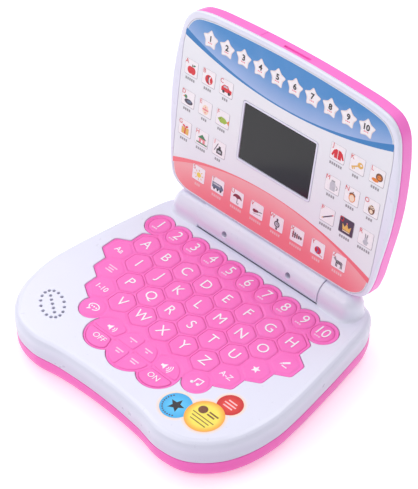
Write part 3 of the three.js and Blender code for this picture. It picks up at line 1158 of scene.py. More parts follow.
@dataclass
class Keypad:
    """The rubber mat, its keys and what is printed on them."""

    shop: Workshop
    layout: KeypadLayout = field(default_factory=KeypadLayout)
    key_top: float = -0.3
    mat_top: float = -0.38
    valley: float = -0.88
    mat_bottom: float = -3.5
    key_foot: float = -4.4
    clearance: float = 0.2
    tight: float = 0.5
    glyph_height: float = 7.8
    number_height: float = 8.0
    crease: float = 50.0

    def cap_levels(self, foot: float, reach: float = 1.0) -> list[Point]:
        """The (height, inset) section of a softly rounded key; reach scales how far the rounding goes in.

        Args:
            foot: height of the key's foot.
            reach: share of the rounding that is used.

        Returns:
            The section.
        """
        top = self.key_top
        return [(foot, 0.0), (top - 0.95, 0.0), *[(top - drop, amount * reach) for drop, amount in (
            (0.66, 0.1), (0.38, 0.34), (0.17, 0.72), (0.04, 1.2), (0.0, 1.7), (0.0, 1.85))]]

    def pocket_levels(self) -> list[Point]:
        """The section of the groove that surrounds a key in the mat.

        Returns:
            The section, from below.
        """
        rise = self.mat_top - self.valley
        return [(self.mat_bottom - 2, -self.clearance), (self.valley, -self.clearance), (self.valley, -0.75),
                (self.valley + 0.25 * rise, -1.15), (self.valley + 0.7 * rise, -1.5),
                (self.valley + 0.95 * rise, -1.9), (self.mat_top + 0.01, -2.3), (self.mat_top + 1, -2.3)]

    def build_mat(self) -> None:
        """The mat with a soft groove round every key, and the keys that are moulded in one with it."""
        layout = self.layout
        top = self.mat_top
        mat = layout.border_solid("mat", [
            (self.mat_bottom, 0.35), (top - 0.5, 0.35), (top - 0.3, 0.4), (top - 0.12, 0.55), (top, 0.85)])
        cells = [cell.outline() for cell in (*layout.letters(), *layout.numbers())]
        cells += [layout.half_lobe(sign, True) for sign in (-1, 1)]
        for outline in cells:
            combine(mat, loft("pocket", outline, self.pocket_levels()), Cut.AWAY)
        moulded = [(cell.outline(), 1.0) for cell in layout.sides()]
        moulded += [(circle(sign * layout.ear.x, layout.ear.y, layout.ear.size), 1.0) for sign in (-1, 1)]
        moulded += [(layout.half_lobe(sign, False), self.tight) for sign in (-1, 1)]
        moulded += [(layout.quarter(right, upper), self.tight) for right in (-1, 1) for upper in (-1, 1)]
        for outline, _ in moulded:
            combine(mat, loft("groove", outline, self.pocket_levels()[2:]), Cut.AWAY)
        for outline, reach in moulded:
            combine(mat, loft("pad", outline, self.cap_levels(self.mat_bottom + 0.5, reach)), Cut.ADD)
        self.shop.paint(mat, PINK_RUBBER)
        self.shop.deliver(mat, "keypad_rubber_mat", "base", "pink_keypad", ["keypad_mat"], self.crease)

    def build_keys(self) -> None:
        """The keys that travel, one piece on each body."""
        layout = self.layout
        patterns = {
            KeyShape.HEX: loft("hex_key", hexagon(0, 0, layout.hex_cap), self.cap_levels(self.key_foot)),
            KeyShape.ROUND: loft("round_key", circle(0, 0, layout.number_radius),
                                 self.cap_levels(self.key_foot)),
        }
        for cell in (*layout.letters(), *layout.numbers()):
            key = copied(patterns[cell.shape], cell.name, Matrix.Translation((cell.x, cell.y, 0)))
            self.deliver_key(key, cell.name)
            self.print_glyph(cell)
        for sign, word in ((-1, "OFF"), (1, "ON")):
            key = loft(word, layout.half_lobe(sign, True), self.cap_levels(self.key_foot, self.tight))
            self.deliver_key(key, word)
            shift = 0.8 if sign > 0 else -0.4
            glyph = self.shaded(word, 4.4, sign * layout.lobe.x + shift, layout.lobe.y - 5.4)
            self.deliver_glyph(glyph, word)
        for pattern in patterns.values():
            bpy.data.objects.remove(pattern)

    def deliver_key(self, key: Solid, word: str) -> None:
        """Paints and attaches one travelling key.

        Args:
            key: the key's shape.
            word: what is printed on it.
        """
        self.shop.paint(key, PINK_RUBBER)
        self.shop.deliver(key, f"rubber_key_{word}", f"cap_{word}", "pink_keypad", [f"key_{word}"],
                          self.crease)

    def deliver_glyph(self, glyph: Solid, word: str) -> None:
        """Attaches what is printed on one travelling key."""
        self.shop.deliver(glyph, f"printed_{word}", f"cap_{word}", "pink_keypad")

    def shaded(self, words: str, height: float, x: float, y: float) -> Solid:
        """White letters on a painted shadow: a darker copy of themselves, shifted right and down.

        Args:
            words: what is written.
            height: height of a capital.
            x: middle of the writing.
            y: middle of the writing.

        Returns:
            The letters.
        """
        # The darker copy, shifted right and down, is a painted shadow.
        shade = lettering("shade", words, height, x + 0.3, y - 0.3, self.key_top, 0.03)
        white = lettering("white", words, height, x, y, self.key_top + 0.03, 0.05)
        return joined(words, [self.shop.paint(shade, LETTER_PAINTED_SHADOW), self.shop.paint(white, KEY_INK)])

    def print_glyph(self, cell: Cell) -> None:
        """A letter, or a number with a short faint caption dash in front of it.

        Args:
            cell: the key's cell.
        """
        if cell.shape is KeyShape.HEX:
            self.deliver_glyph(self.shaded(cell.name, self.glyph_height, cell.x, cell.y), cell.name)
            return
        number = self.shaded(cell.name, self.number_height, cell.x + 0.4, cell.y + 0.9)
        dashes = [prism("dash",
                        rectangle(cell.x - 3.2 + 1.7 * i, cell.x - 1.9 + 1.7 * i, cell.y - 5.0, cell.y - 3.9),
                        self.key_top, self.key_top + 0.05) for i in range(3)]
        caption = self.shop.paint(joined("caption", dashes), FAINT_INK)
        self.deliver_glyph(joined("glyph", [number, caption]), cell.name)

    def print_moulded(self) -> None:
        """Plain signs on the keys that are moulded in one with the mat."""
        layout = self.layout
        z = self.key_top
        row = [layout.row_y(i) for i in range(4)]
        signs = [
            lettering("sign", "Aa", 4.6, -76, row[1], z, 0.06, 0.03),
            lettering("sign", "1-10", 4.2, -57, row[3], z, 0.06, 0.03),
            *self.sign("bubble", -layout.ear.x, layout.ear.y),
            *self.sign("pencil", 76, row[1]),
            self.mark(star(66.5, row[2], 3.2, 1.4)),
            lettering("sign", "A-Z", 4.2, 57, row[3], z, 0.06, 0.03),
            *self.sign("note", layout.ear.x, layout.ear.y),
            *self.sign("soft_sound", -layout.lobe.x, layout.lobe.y + 5.6),
            *self.sign("loud_sound", layout.lobe.x + 1, layout.lobe.y + 5.6),
        ]
        lines = self.bars(-66.5, row[2], (7.6, 5.0, 6.6))
        for right in (-1, 1):
            for upper in (-1, 1):
                x, y = layout.dial.x + right * 7.0, layout.dial.y + upper * 6.0
                lines += self.bars(x, y - 0.6, (6.6, 1.2 + 1.2 * (right > 0) + 2.4 * (upper < 0)))
        printed = joined("signs", [self.shop.paint(joined("white", signs), KEY_INK),
                                   self.shop.paint(joined("faint", lines), FAINT_INK)])
        self.shop.deliver(printed, "printed_key_signs", "base", "pink_keypad")

    def mark(self, outline: Outline) -> Solid:
        """One flat mark of ink on a key top."""
        return prism("mark", outline, self.key_top, self.key_top + 0.06)

    def bars(self, x: float, y: float, widths: Sequence[float]) -> list[Solid]:
        """Lines of print, one under the other."""
        return [self.mark(rectangle(x - w / 2, x + w / 2, y + 1.6 - 2.1 * i, y + 2.5 - 2.1 * i, 0.3, 3))
                for i, w in enumerate(widths)]

    def sign(self, name: str, x: float, y: float) -> list[Solid]:
        """The marks of one small sign, round its place."""
        return [self.mark([(x + u, y + v) for u, v in outline]) for outline in sign_shapes()[name]]

    def build(self) -> None:
        """Builds the whole keypad."""
        self.build_mat()
        self.build_keys()
        self.print_moulded()


def star(x: float, y: float, outer: float, inner: float, rounding: int = 0) -> Outline:
    """A five-pointed star, its points rounded by some passes.

    Args:
        x: the middle.
        y: the middle.
        outer: radius of the points.
        inner: radius between them.
        rounding: softening passes.

    Returns:
        The outline, counter-clockwise.
    """
    points = [(x + r * math.sin(i * math.pi / 5), y + r * math.cos(i * math.pi / 5))
              for i in range(10) for r in ((outer, inner)[i % 2],)][::-1]
    return soften(dense(points, outer / 8), rounding) if rounding else points


def ribbon(path: Sequence[Point], width: float) -> Outline:
    """The outline of a stroke of some width along an open path.

    Args:
        path: points along the stroke.
        width: width of the stroke.

    Returns:
        The outline, counter-clockwise.
    """
    left: Outline = []
    right: Outline = []
    for i, point in enumerate(path):
        before = Vector(path[max(i - 1, 0)])
        after = Vector(path[min(i + 1, len(path) - 1)])
        along = (after - before).normalized()
        if 0 < i < len(path) - 1:
            first = (Vector(point) - before).normalized()
            spread = max(0.5, along.dot(first))
        else:
            spread = 1.0
        side = Vector((-along.y, along.x)) * (width / 2 / spread)
        left.append((point[0] + side.x, point[1] + side.y))
        right.append((point[0] - side.x, point[1] - side.y))
    return [*right, *reversed(left)]


def sign_shapes() -> dict[str, list[Outline]]:
    """The small signs of the moulded keys.

    Returns:
        The outlines of each sign, drawn round its middle.
    """
    horn = [(-4.2, -0.9), (-2.8, -0.9), (-0.8, -2.5), (-0.8, 2.5), (-2.8, 0.9), (-4.2, 0.9)]
    waves = [ribbon([(r * math.cos(a / 8) - 0.6, r * math.sin(a / 8)) for a in range(-6, 7)], 0.6)
             for r in (1.9, 3.3, 4.7)]
    turns = [math.pi * a / 14 for a in range(-6, 21)]
    cloud = ribbon([(3.9 * math.cos(turn), 0.4 + 2.7 * math.sin(turn)) for turn in turns], 0.75)
    return {
        "bubble": [cloud, [(-2.6, -1.9), (-1.0, -2.6), (-3.2, -4.2)],
                   *[circle(2.0 * i, 0.4, 0.62, 14) for i in (-1, 0, 1)]],
        "pencil": [ribbon([(-1.2, -1.2), (2.4, 2.4)], 1.5), [(-2.6, -2.6), (-1.0, -1.9), (-1.9, -1.0)],
                   rectangle(-0.6, 3.6, -3.0, -2.3)],
        "note": [circle(-2.2, -2.2, 1.3, 20, 1.0), circle(2.2, -1.6, 1.3, 20, 1.0),
                 ribbon([(-1.2, -2.2), (-1.2, 2.2), (3.2, 2.9), (3.2, -1.6)], 0.7)],
        "soft_sound": [horn, *waves[:2]],
        "loud_sound": [horn, *waves],
    }


# -------- base


BASE_OUTLINE: list[Point] = [
    (0, -106.2), (36, -108), (58, -111.2), (77.5, -107.2), (93, -93.6), (101.5, -76), (105, -54),
    (104.2, -36), (100.5, -6), (95.8, 24), (91.5, 44), (84, 56), (70, 60.4), (0, 60.8),
]


@dataclass
class HingeSizes:
    """The barrel, its trough and the two bosses that hold it, in the base frame."""

    y: float = 46.0
    z: float = 5.5
    barrel: float = 10.8
    half: float = 54.4
    boss: float = 10.0
    boss_inner: float = 55.1
    boss_outer: float = 82.6
    dome: float = 9.0
    fillet: float = 3.0
    back_fillet: float = 1.4
    pin: float = 2.0


@dataclass
class Base:
    """The two shells of the base with everything that is fixed to them."""

    shop: Workshop
    layout: KeypadLayout
    hinge: HingeSizes = field(default_factory=HingeSizes)
    outline: Outline = field(default_factory=lambda: smooth_outline(BASE_OUTLINE, 200))
    plate: float = 2.4
    wall: float = 2.2
    parting: float = -17.0
    bottom: float = -31.5
    grille: Point = (-69.0, -82.3)
    grille_tilt: float = math.radians(-32)
    grille_ring: Point = (12.8, 7.6)
    grille_gap: float = 4.0
    hole_radius: float = 1.1
    door_gap: float = 0.3
    bay: tuple[float, float, float, float] = (-28.5, 28.5, -52.0, -6.0)
    door_plate: float = 1.6
    door_screw: Point = (0.0, -2.6)
    door_sink: float = 1.05
    screw_depth: float = 9.0

    def boss_section(self, along: float, heading: float) -> list[Point]:
        """The hump's section seen in one direction, from its crest down to the foot of its fillet.

        Args:
            along: distance from the hump's flat inner end.
            heading: direction in plan, 0 to the front and a half turn to the back.

        Returns:
            Distances from the axis and heights, as (distance, height).
        """
        sizes = self.hinge
        back = min(1.0, max(0.0, heading / math.pi * 2 - 0.6))
        grown = 0.3 + 0.7 * min(1.0, along / 8)
        fillet = (sizes.fillet + (sizes.back_fillet - sizes.fillet) * back) * grown
        foot = -0.45 * back
        steps = 12
        quarter = [math.pi / 2 * i / steps for i in range(steps + 1)]
        crest = [(sizes.boss * math.sin(turn), sizes.z + sizes.boss * math.cos(turn)) for turn in quarter]
        saddle = [(sizes.boss + fillet * (1 - math.cos(turn)),
                   foot + (sizes.z - foot - 0.3) * (1 - math.sin(turn)))
                  for turn in quarter]
        return [*crest, *saddle]

    def boss(self, side: int) -> Solid:
        """One hinge boss: a half-round hump with a domed end that flows into the top face.

        Args:
            side: 1 for the right boss, -1 for the left one.

        Returns:
            The boss, a closed solid.
        """
        sizes = self.hinge
        centre = sizes.boss_outer - sizes.dome
        straight, turn = 8, 32
        columns = [(sizes.boss_inner + (centre - sizes.boss_inner) * i / straight,
                    0.0) for i in range(straight)]
        columns += [(centre, math.pi * i / turn) for i in range(turn + 1)]
        columns += [(x, math.pi) for x, _ in reversed(columns[:straight])]
        rows = len(self.boss_section(0.0, 0.0))
        deselect()
        bpy.ops.mesh.primitive_grid_add(x_subdivisions=len(columns) - 1, y_subdivisions=rows - 1, size=1)
        hump = bpy.context.object
        for number, vertex in enumerate(hump.data.vertices):
            row, column = divmod(number, len(columns))
            start, heading = columns[column]
            reach, height = self.boss_section(start - sizes.boss_inner, heading)[row]
            narrow = 1 - (1 - sizes.dome / sizes.boss) * max(0.0, math.sin(heading))
            vertex.co = (side * (start + narrow * reach * math.sin(heading)),
                         sizes.y - reach * math.cos(heading), height)
        bpy.ops.object.mode_set(mode="EDIT")
        bpy.ops.mesh.select_all(action="SELECT")
        bpy.ops.mesh.remove_doubles(threshold=0.002)
        bpy.ops.mesh.select_all(action="DESELECT")
        self.pick_edges(hump, lambda a, b: max(abs(a.x), abs(b.x)) > sizes.boss_inner + 0.01)
        bpy.ops.mesh.extrude_edges_move(TRANSFORM_OT_translate={"value": (0, 0, -1.4)})
        bpy.ops.mesh.select_all(action="DESELECT")
        self.pick_edges(hump, lambda a, b: max(abs(a.x), abs(b.x)) < sizes.boss_inner + 0.01)
        bpy.ops.mesh.edge_face_add()
        bpy.ops.mesh.select_all(action="DESELECT")
        self.pick_edges(hump, lambda a, b: max(a.z, b.z) < -1.3)
        bpy.ops.mesh.edge_face_add()
        bpy.ops.object.mode_set(mode="OBJECT")
        normals_out(hump)
        return hump

    def pick_edges(self, solid: Solid, wanted: Callable[[Vector, Vector], bool]) -> None:
        """Selects the open edges whose two ends pass a test.

        Args:
            solid: the object in edit mode.
            wanted: a test of the two ends.
        """
        shaped = bmesh.from_edit_mesh(solid.data)
        for edge in shaped.edges:
            if edge.is_boundary and wanted(edge.verts[0].co, edge.verts[1].co):
                edge.select = True
        shaped.select_flush_mode()
        bmesh.update_edit_mesh(solid.data)

    def grille_points(self) -> list[Point]:
        """Centres of the speaker's sound holes: an oval ring and a row along its long axis.

        Returns:
            The centres.
        """
        flat = [(self.grille_ring[0] * math.cos(i / 8 * math.pi),
                 self.grille_ring[1] * math.sin(i / 8 * math.pi))
                for i in range(16)]
        flat += [(self.grille_gap * i, 0.0) for i in range(-2, 3)]
        cos, sin = math.cos(self.grille_tilt), math.sin(self.grille_tilt)
        return [(self.grille[0] + x * cos - y * sin, self.grille[1] + x * sin + y * cos) for x, y in flat]

    def build_top(self) -> None:
        """The white top shell: rounded shoulder, key opening, hinge bosses and speaker holes."""
        sizes = self.hinge
        section = smooth_levels([
            (self.parting, 0.6), (-11, 0.15), (-6, 0.0), (-3.6, 0.5), (-1.9, 1.5), (-0.75, 3.1)])
        shell = loft("top", self.outline, [*section, (0.0, 5.3), (0.0, 5.7)])
        inside = loft("inside", self.outline, [
            (self.parting - 1, 0.6 + self.wall), (-6, self.wall), (-self.plate - 1, self.wall + 2),
            (-self.plate, self.wall + 4.5)])
        combine(shell, inside, Cut.AWAY)
        trough = bar("wall", -sizes.half - 2.7, sizes.half + 2.7, sizes.y, sizes.z, sizes.barrel + 2.5)
        combine(trough, loft("within", self.outline, [(-12, 1.2), (-0.2, 5.3)]), Cut.KEEP)
        combine(shell, trough, Cut.ADD)
        for side in (-1, 1):
            combine(shell, self.boss(side), Cut.ADD)
        combine(shell, bar("trough", -sizes.boss_inner, sizes.boss_inner, sizes.y, sizes.z,
                           sizes.barrel + 0.7, 0, 128),
                Cut.AWAY)
        bore = sizes.boss_inner + 12.3
        combine(shell, bar("bore", -bore, bore, sizes.y, sizes.z, sizes.pin + 0.3, 0, 32), Cut.AWAY)
        rim = self.layout.border_solid("rim", [
            (-self.plate - 1, 0.0), (-0.6, 0.0), (-0.38, -0.07), (-0.14, -0.3), (0.0, -0.62), (0.6, -0.62)])
        combine(shell, rim, Cut.AWAY)
        for x, y in self.grille_points():
            hole = loft("hole", circle(x, y, self.hole_radius, 20), [
                (-8, 0), (-0.35, 0), (-0.1, -0.1), (0.01, -0.3), (0.5, -0.3)])
            combine(shell, hole, Cut.AWAY)
        crease = self.shop.datum.base.z
        # Painted shade: the shell's walls are painted darker than its top, from the crease downwards.
        self.shop.paint(shell,
                        HeightShade("white_base_shell", "white_shell", (234, 234, 250), (203, 202, 222), 0.32,
                                    0.05, coat=0.25, high=crease - 0.5 * MM, low=crease - 11 * MM))
        self.shop.deliver(shell, "white_top_shell", "base", "white_shell", ["base_top_shell"], 11)

    def build_bottom(self) -> None:
        """The pink bottom shell with its battery bay, foot seats and sunk screw holes."""
        section = smooth_levels([
            (self.bottom, 9), (-31.2, 6.2), (-30, 3.4), (-27.8, 1.6), (-24, 0.6), (-20, 0.5)])
        shell = loft("bottom", self.outline, [
            (self.bottom, 9.4), *section, (self.parting - 0.7, 0.5), (self.parting - 0.3, 0.9)])
        inside = loft("inside", self.outline, [
            (self.bottom + self.wall, 9.5), (-27.6, 5), (-24, 2.8), (self.parting, 2.8)])
        combine(shell, inside, Cut.AWAY)
        combine(shell, prism("bay_walls", rectangle(-30.1, 30.1, -53.6, -4.4), self.bottom + 1, -14.5),
                Cut.ADD)
        combine(shell, prism("post", rectangle(-5, 5, -5, 2), self.bottom + 1, self.bottom + 11), Cut.ADD)
        for x, y in self.screw_points():
            combine(shell, prism("post", circle(x, y, 4.6), self.bottom + 1, self.bottom + 12), Cut.ADD)
        combine(shell, prism("bay", rectangle(*self.bay), self.bottom - 1, -13.5), Cut.AWAY)
        combine(shell, prism("tab", rectangle(-4.8, 4.8, -7, 0.8), self.bottom - 1, self.bottom + 1.9),
                Cut.AWAY)
        combine(shell, prism("hole", circle(*self.door_screw, 1.4, 24), self.bottom, self.bottom + 9),
                Cut.AWAY)
        for x, y in self.foot_points():
            combine(shell, prism("seat", circle(x, y, 5.8), self.bottom - 1, self.bottom + 0.9), Cut.AWAY)
        for x, y in self.screw_points():
            well = loft("well", circle(x, y, 3.2), [
                (self.bottom + self.screw_depth, 0), (self.bottom + 0.4, 0), (self.bottom + 0.1, -0.15),
                (self.bottom - 0.5, -0.8)])
            combine(shell, well, Cut.AWAY)
        # The bottom shell gets the darker pink copy, painted shade.
        self.shop.paint(shell, PINK_SHELL_PAINTED_SHADE)
        self.shop.deliver(shell, "pink_bottom_shell", "base", "pink_shell", ["base_bottom_shell"], 32)

    def screw_points(self) -> list[Point]:
        """Where the case screws go in, from below."""
        return [(x, y) for x in (-80, 80) for y in (-52, 8)] + [(0, -92), (-38, 46), (38, 46)]

    def foot_points(self) -> list[Point]:
        """Centres of the four feet, as the model has them.

        Returns:
            The centres.
        """
        points = []
        for i in range(1, 5):
            low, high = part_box(f"rubber_foot_{i}")
            middle = self.shop.datum.drawn((low + high) / 2)
            points.append((middle.x, middle.y))
        return points

    def build_feet(self) -> None:
        """Four soft feet with a rounded tread."""
        z = self.bottom
        for i, (x, y) in enumerate(self.foot_points(), start=1):
            foot = loft("foot", circle(x, y, 5.5, 40), [
                (z + 0.6, 0), (z - 0.9, 0), (z - 1.25, 0.12), (z - 1.43, 0.4), (z - 1.5, 0.8), (z - 1.5, 1.6),
                (z - 1.2, 1.9), (z - 1.2, 3)])
            self.shop.paint(foot, FOOT)
            self.shop.deliver(foot, f"soft_foot_{i}", "base", "foot_rubber", [f"rubber_foot_{i}"])

    def build_door(self) -> None:
        """The battery door with its tab, grip ribs and sunk screw."""
        z = self.bottom
        x0, x1, y0, y1 = self.bay
        gap = self.door_gap
        x, y = self.door_screw
        cover = rectangle(x0 + gap, x1 - gap, y0 + gap, y1 - gap, 1.2)
        door = plate("door", cover, -z - self.door_plate, -z, 0.35)
        tab = plate("tab", rectangle(-4.5, 4.5, -8, 0.5, 1.0), -z - self.door_plate, -z, 0.35)
        combine(door, tab, Cut.ADD)
        for i in range(7):
            rib = prism("groove", rectangle(-16, 16, -47.0 + 1.8 * i, -46.1 + 1.8 * i, 0.4, 3), -z - 0.35,
                        -z + 1)
            combine(door, rib, Cut.AWAY)
        combine(door, prism("sink", circle(x, y, 2.9), -z - self.door_sink, -z + 1), Cut.AWAY)
        combine(door, prism("hole", circle(x, y, 1.3, 20), -z - 3, -z + 1), Cut.AWAY)
        door.data.transform(Matrix.Scale(-1, 4, (0, 0, 1)))
        normals_out(door)
        # The door gets the darker pink copy, painted shade.
        self.shop.paint(door, PINK_SHELL_PAINTED_SHADE)
        self.shop.deliver(door, "pink_battery_door", "base", "pink_shell", ["battery_door"], 32)

    def build_screws(self) -> None:
        """The battery door's screw and the case screws at the bottom of their wells."""
        z = self.bottom
        door_screw = cross_screw(2.4, 1.0, 7.0)
        upside_down = Matrix.Rotation(math.pi, 4, "X")
        door_screw.data.transform(Matrix.Translation((*self.door_screw, z + self.door_sink)) @ upside_down)
        self.shop.paint(door_screw, STEEL)
        self.shop.deliver(door_screw, "battery_door_cross_screw", "base", "bare_steel",
                          ["battery_door_screw"], 32)
        heads = []
        for x, y in self.screw_points():
            head = cross_screw(2.7, 1.1, 2.0)
            head.data.transform(Matrix.Translation((x, y, z + self.screw_depth)) @ upside_down)
            heads.append(head)
        screws = self.shop.paint(joined("case_screws", heads), STEEL)
        self.shop.deliver(screws, "case_screws", "base", "bare_steel", (), 32)

    def build(self) -> None:
        """Builds the shells and what is fixed to them."""
        self.build_top()
        self.build_bottom()
        self.build_feet()
        self.build_door()
        self.build_screws()


def cross_screw(head: float, shank: float, length: float) -> Solid:
    """A small domed screw with a cross recess, its head's underside at z = 0 and its head up.

    Args:
        head: radius of the head.
        shank: radius of the shank.
        length: length of the shank.

    Returns:
        The screw.
    """
    screw = loft("screw", circle(0, 0, head, 32), [
        (0, 0), (0.25, 0.02), (0.6, 0.35), (0.85, 1.0), (0.95, 1.8)])
    combine(screw, prism("shank", circle(0, 0, shank, 20), -length, 0.3), Cut.ADD)
    for wide, tall in ((head * 0.6, 0.32), (0.32, head * 0.6)):
        combine(screw, prism("slot", rectangle(-wide, wide, -tall, tall), 0.35, 2), Cut.AWAY)
    return screw


@dataclass
class Sticker:
    """Three overlapping printed discs in the front right corner, with plain marks."""

    shop: Workshop
    blue: tuple[float, float, float] = (52.8, -88.9, 10.3)
    gold: tuple[float, float, float] = (71.6, -83.2, 12.6)
    red: tuple[float, float, float] = (76.4, -65.8, 8.4)
    glow_edge: float = 2.4

    def disc(self, x: float, y: float, radius: float, z: float, finish: Finish) -> Solid:
        """One thin printed disc."""
        return self.shop.paint(prism("disc", circle(x, y, radius, 64), z, z + 0.03), finish)

    def print(self, name: str, tone: Colour, second: Colour, x: float, y: float, near: float,
              far: float) -> Finish:
        """A finish that fades outwards from the middle of a disc.

        Args:
            name: the finish's name.
            tone: colour in the middle.
            second: colour at the edge.
            x: the disc's middle.
            y: the disc's middle.
            near: where the fade starts.
            far: where it ends.

        Returns:
            The finish.
        """
        middle = self.shop.datum.matrix(Place.BASE) @ Vector((x, y, 0))
        return HaloPrint(name, "picture_print", tone, second, 0.4, 0.05, 300.0, middle=tuple(middle),
                         near=near, far=far)

    def build(self) -> None:
        """Builds the sticker."""
        layers = []
        for word, (x, y, r) in (("blue", self.blue), ("gold", self.gold), ("red", self.red)):
            glow = self.print(f"sticker_glow_{word}", (252, 222, 196), (236, 234, 247), x, y, r - 0.2,
                              r + 2.3)
            layers.append(self.disc(x, y, r + self.glow_edge, 0.0 if word != "gold" else 0.01, glow))
        x, y, r = self.blue
        fade = self.print("sticker_blue", (98, 202, 250), (66, 176, 236), x, y, 3, r)
        layers.append(self.disc(x, y, r, 0.03, fade))
        layers.append(self.mark(star(x, y + 0.2, 5.6, 2.5), Ink.BLACK, 0.06))
        layers += [self.mark(circle(x + 8.5 * math.sin(a), y + 8.5 * math.cos(a), 0.55, 12), Ink.SLATE, 0.06)
                   for a in (math.radians(150 + 12 * i) for i in range(14))]
        x, y, r = self.red
        fade = self.print("sticker_red", (240, 72, 62), (206, 44, 46), x, y, 2, r)
        layers.append(self.disc(x, y, r, 0.035, fade))
        layers += [self.mark(ribbon([(x - w, y + h), (x + w, y + h)], 1.0), Ink.CAPTION, 0.065)
                   for w, h in ((3.4, 2.6), (4.6, 0.2), (3.6, -2.2))]
        x, y, r = self.gold
        fade = self.print("sticker_gold", (250, 232, 96), (250, 168, 66), x, y, 0.68 * r, r)
        layers.append(self.disc(x, y, r, 0.07, fade))
        layers.append(self.mark(circle(x - 4.4, y + 3.4, 3.1, 32), Ink.BROWN, 0.1))
        layers += [self.mark(ribbon([(x + a, y + h), (x + b, y + h)], t), Ink.BROWN, 0.1)
                   for a, b, h, t in ((0, 7.4, 4.6, 1.1), (0, 6.0, 2.4, 1.1), (-8.4, 8.8, -1.2, 0.6),
                                      (-7.0, 7.0, -3.6, 0.6), (-6.0, 6.6, -6.2, 0.6))]
        sticker = joined("sticker", layers)
        self.shop.deliver(sticker, "round_sticker", "base", "picture_print")

    def mark(self, outline: Outline, ink: Ink, z: float) -> Solid:
        """One printed mark on a disc."""
        return self.shop.paint(prism("mark", outline, z, z + 0.03), ink.finish())


# -------- lid


LID_OUTLINE: list[Point] = [
    (0, 10.7), (60, 10.7), (78, 11.6), (86.8, 16.8), (90.8, 28), (93, 45), (95.6, 68), (96.3, 86),
    (95.4, 106), (93, 124), (89.6, 136), (83, 143.6), (72, 147), (50, 148.9), (0, 150.4),
]
PANEL_OUTLINE: list[Point] = [
    (0, 12), (60, 12), (76, 13), (84.4, 18.6), (87.8, 29), (89, 60), (89.2, 100), (88.8, 122),
    (86.4, 132.6), (80, 140), (68, 143.4), (44, 145.4), (0, 146.8),
]


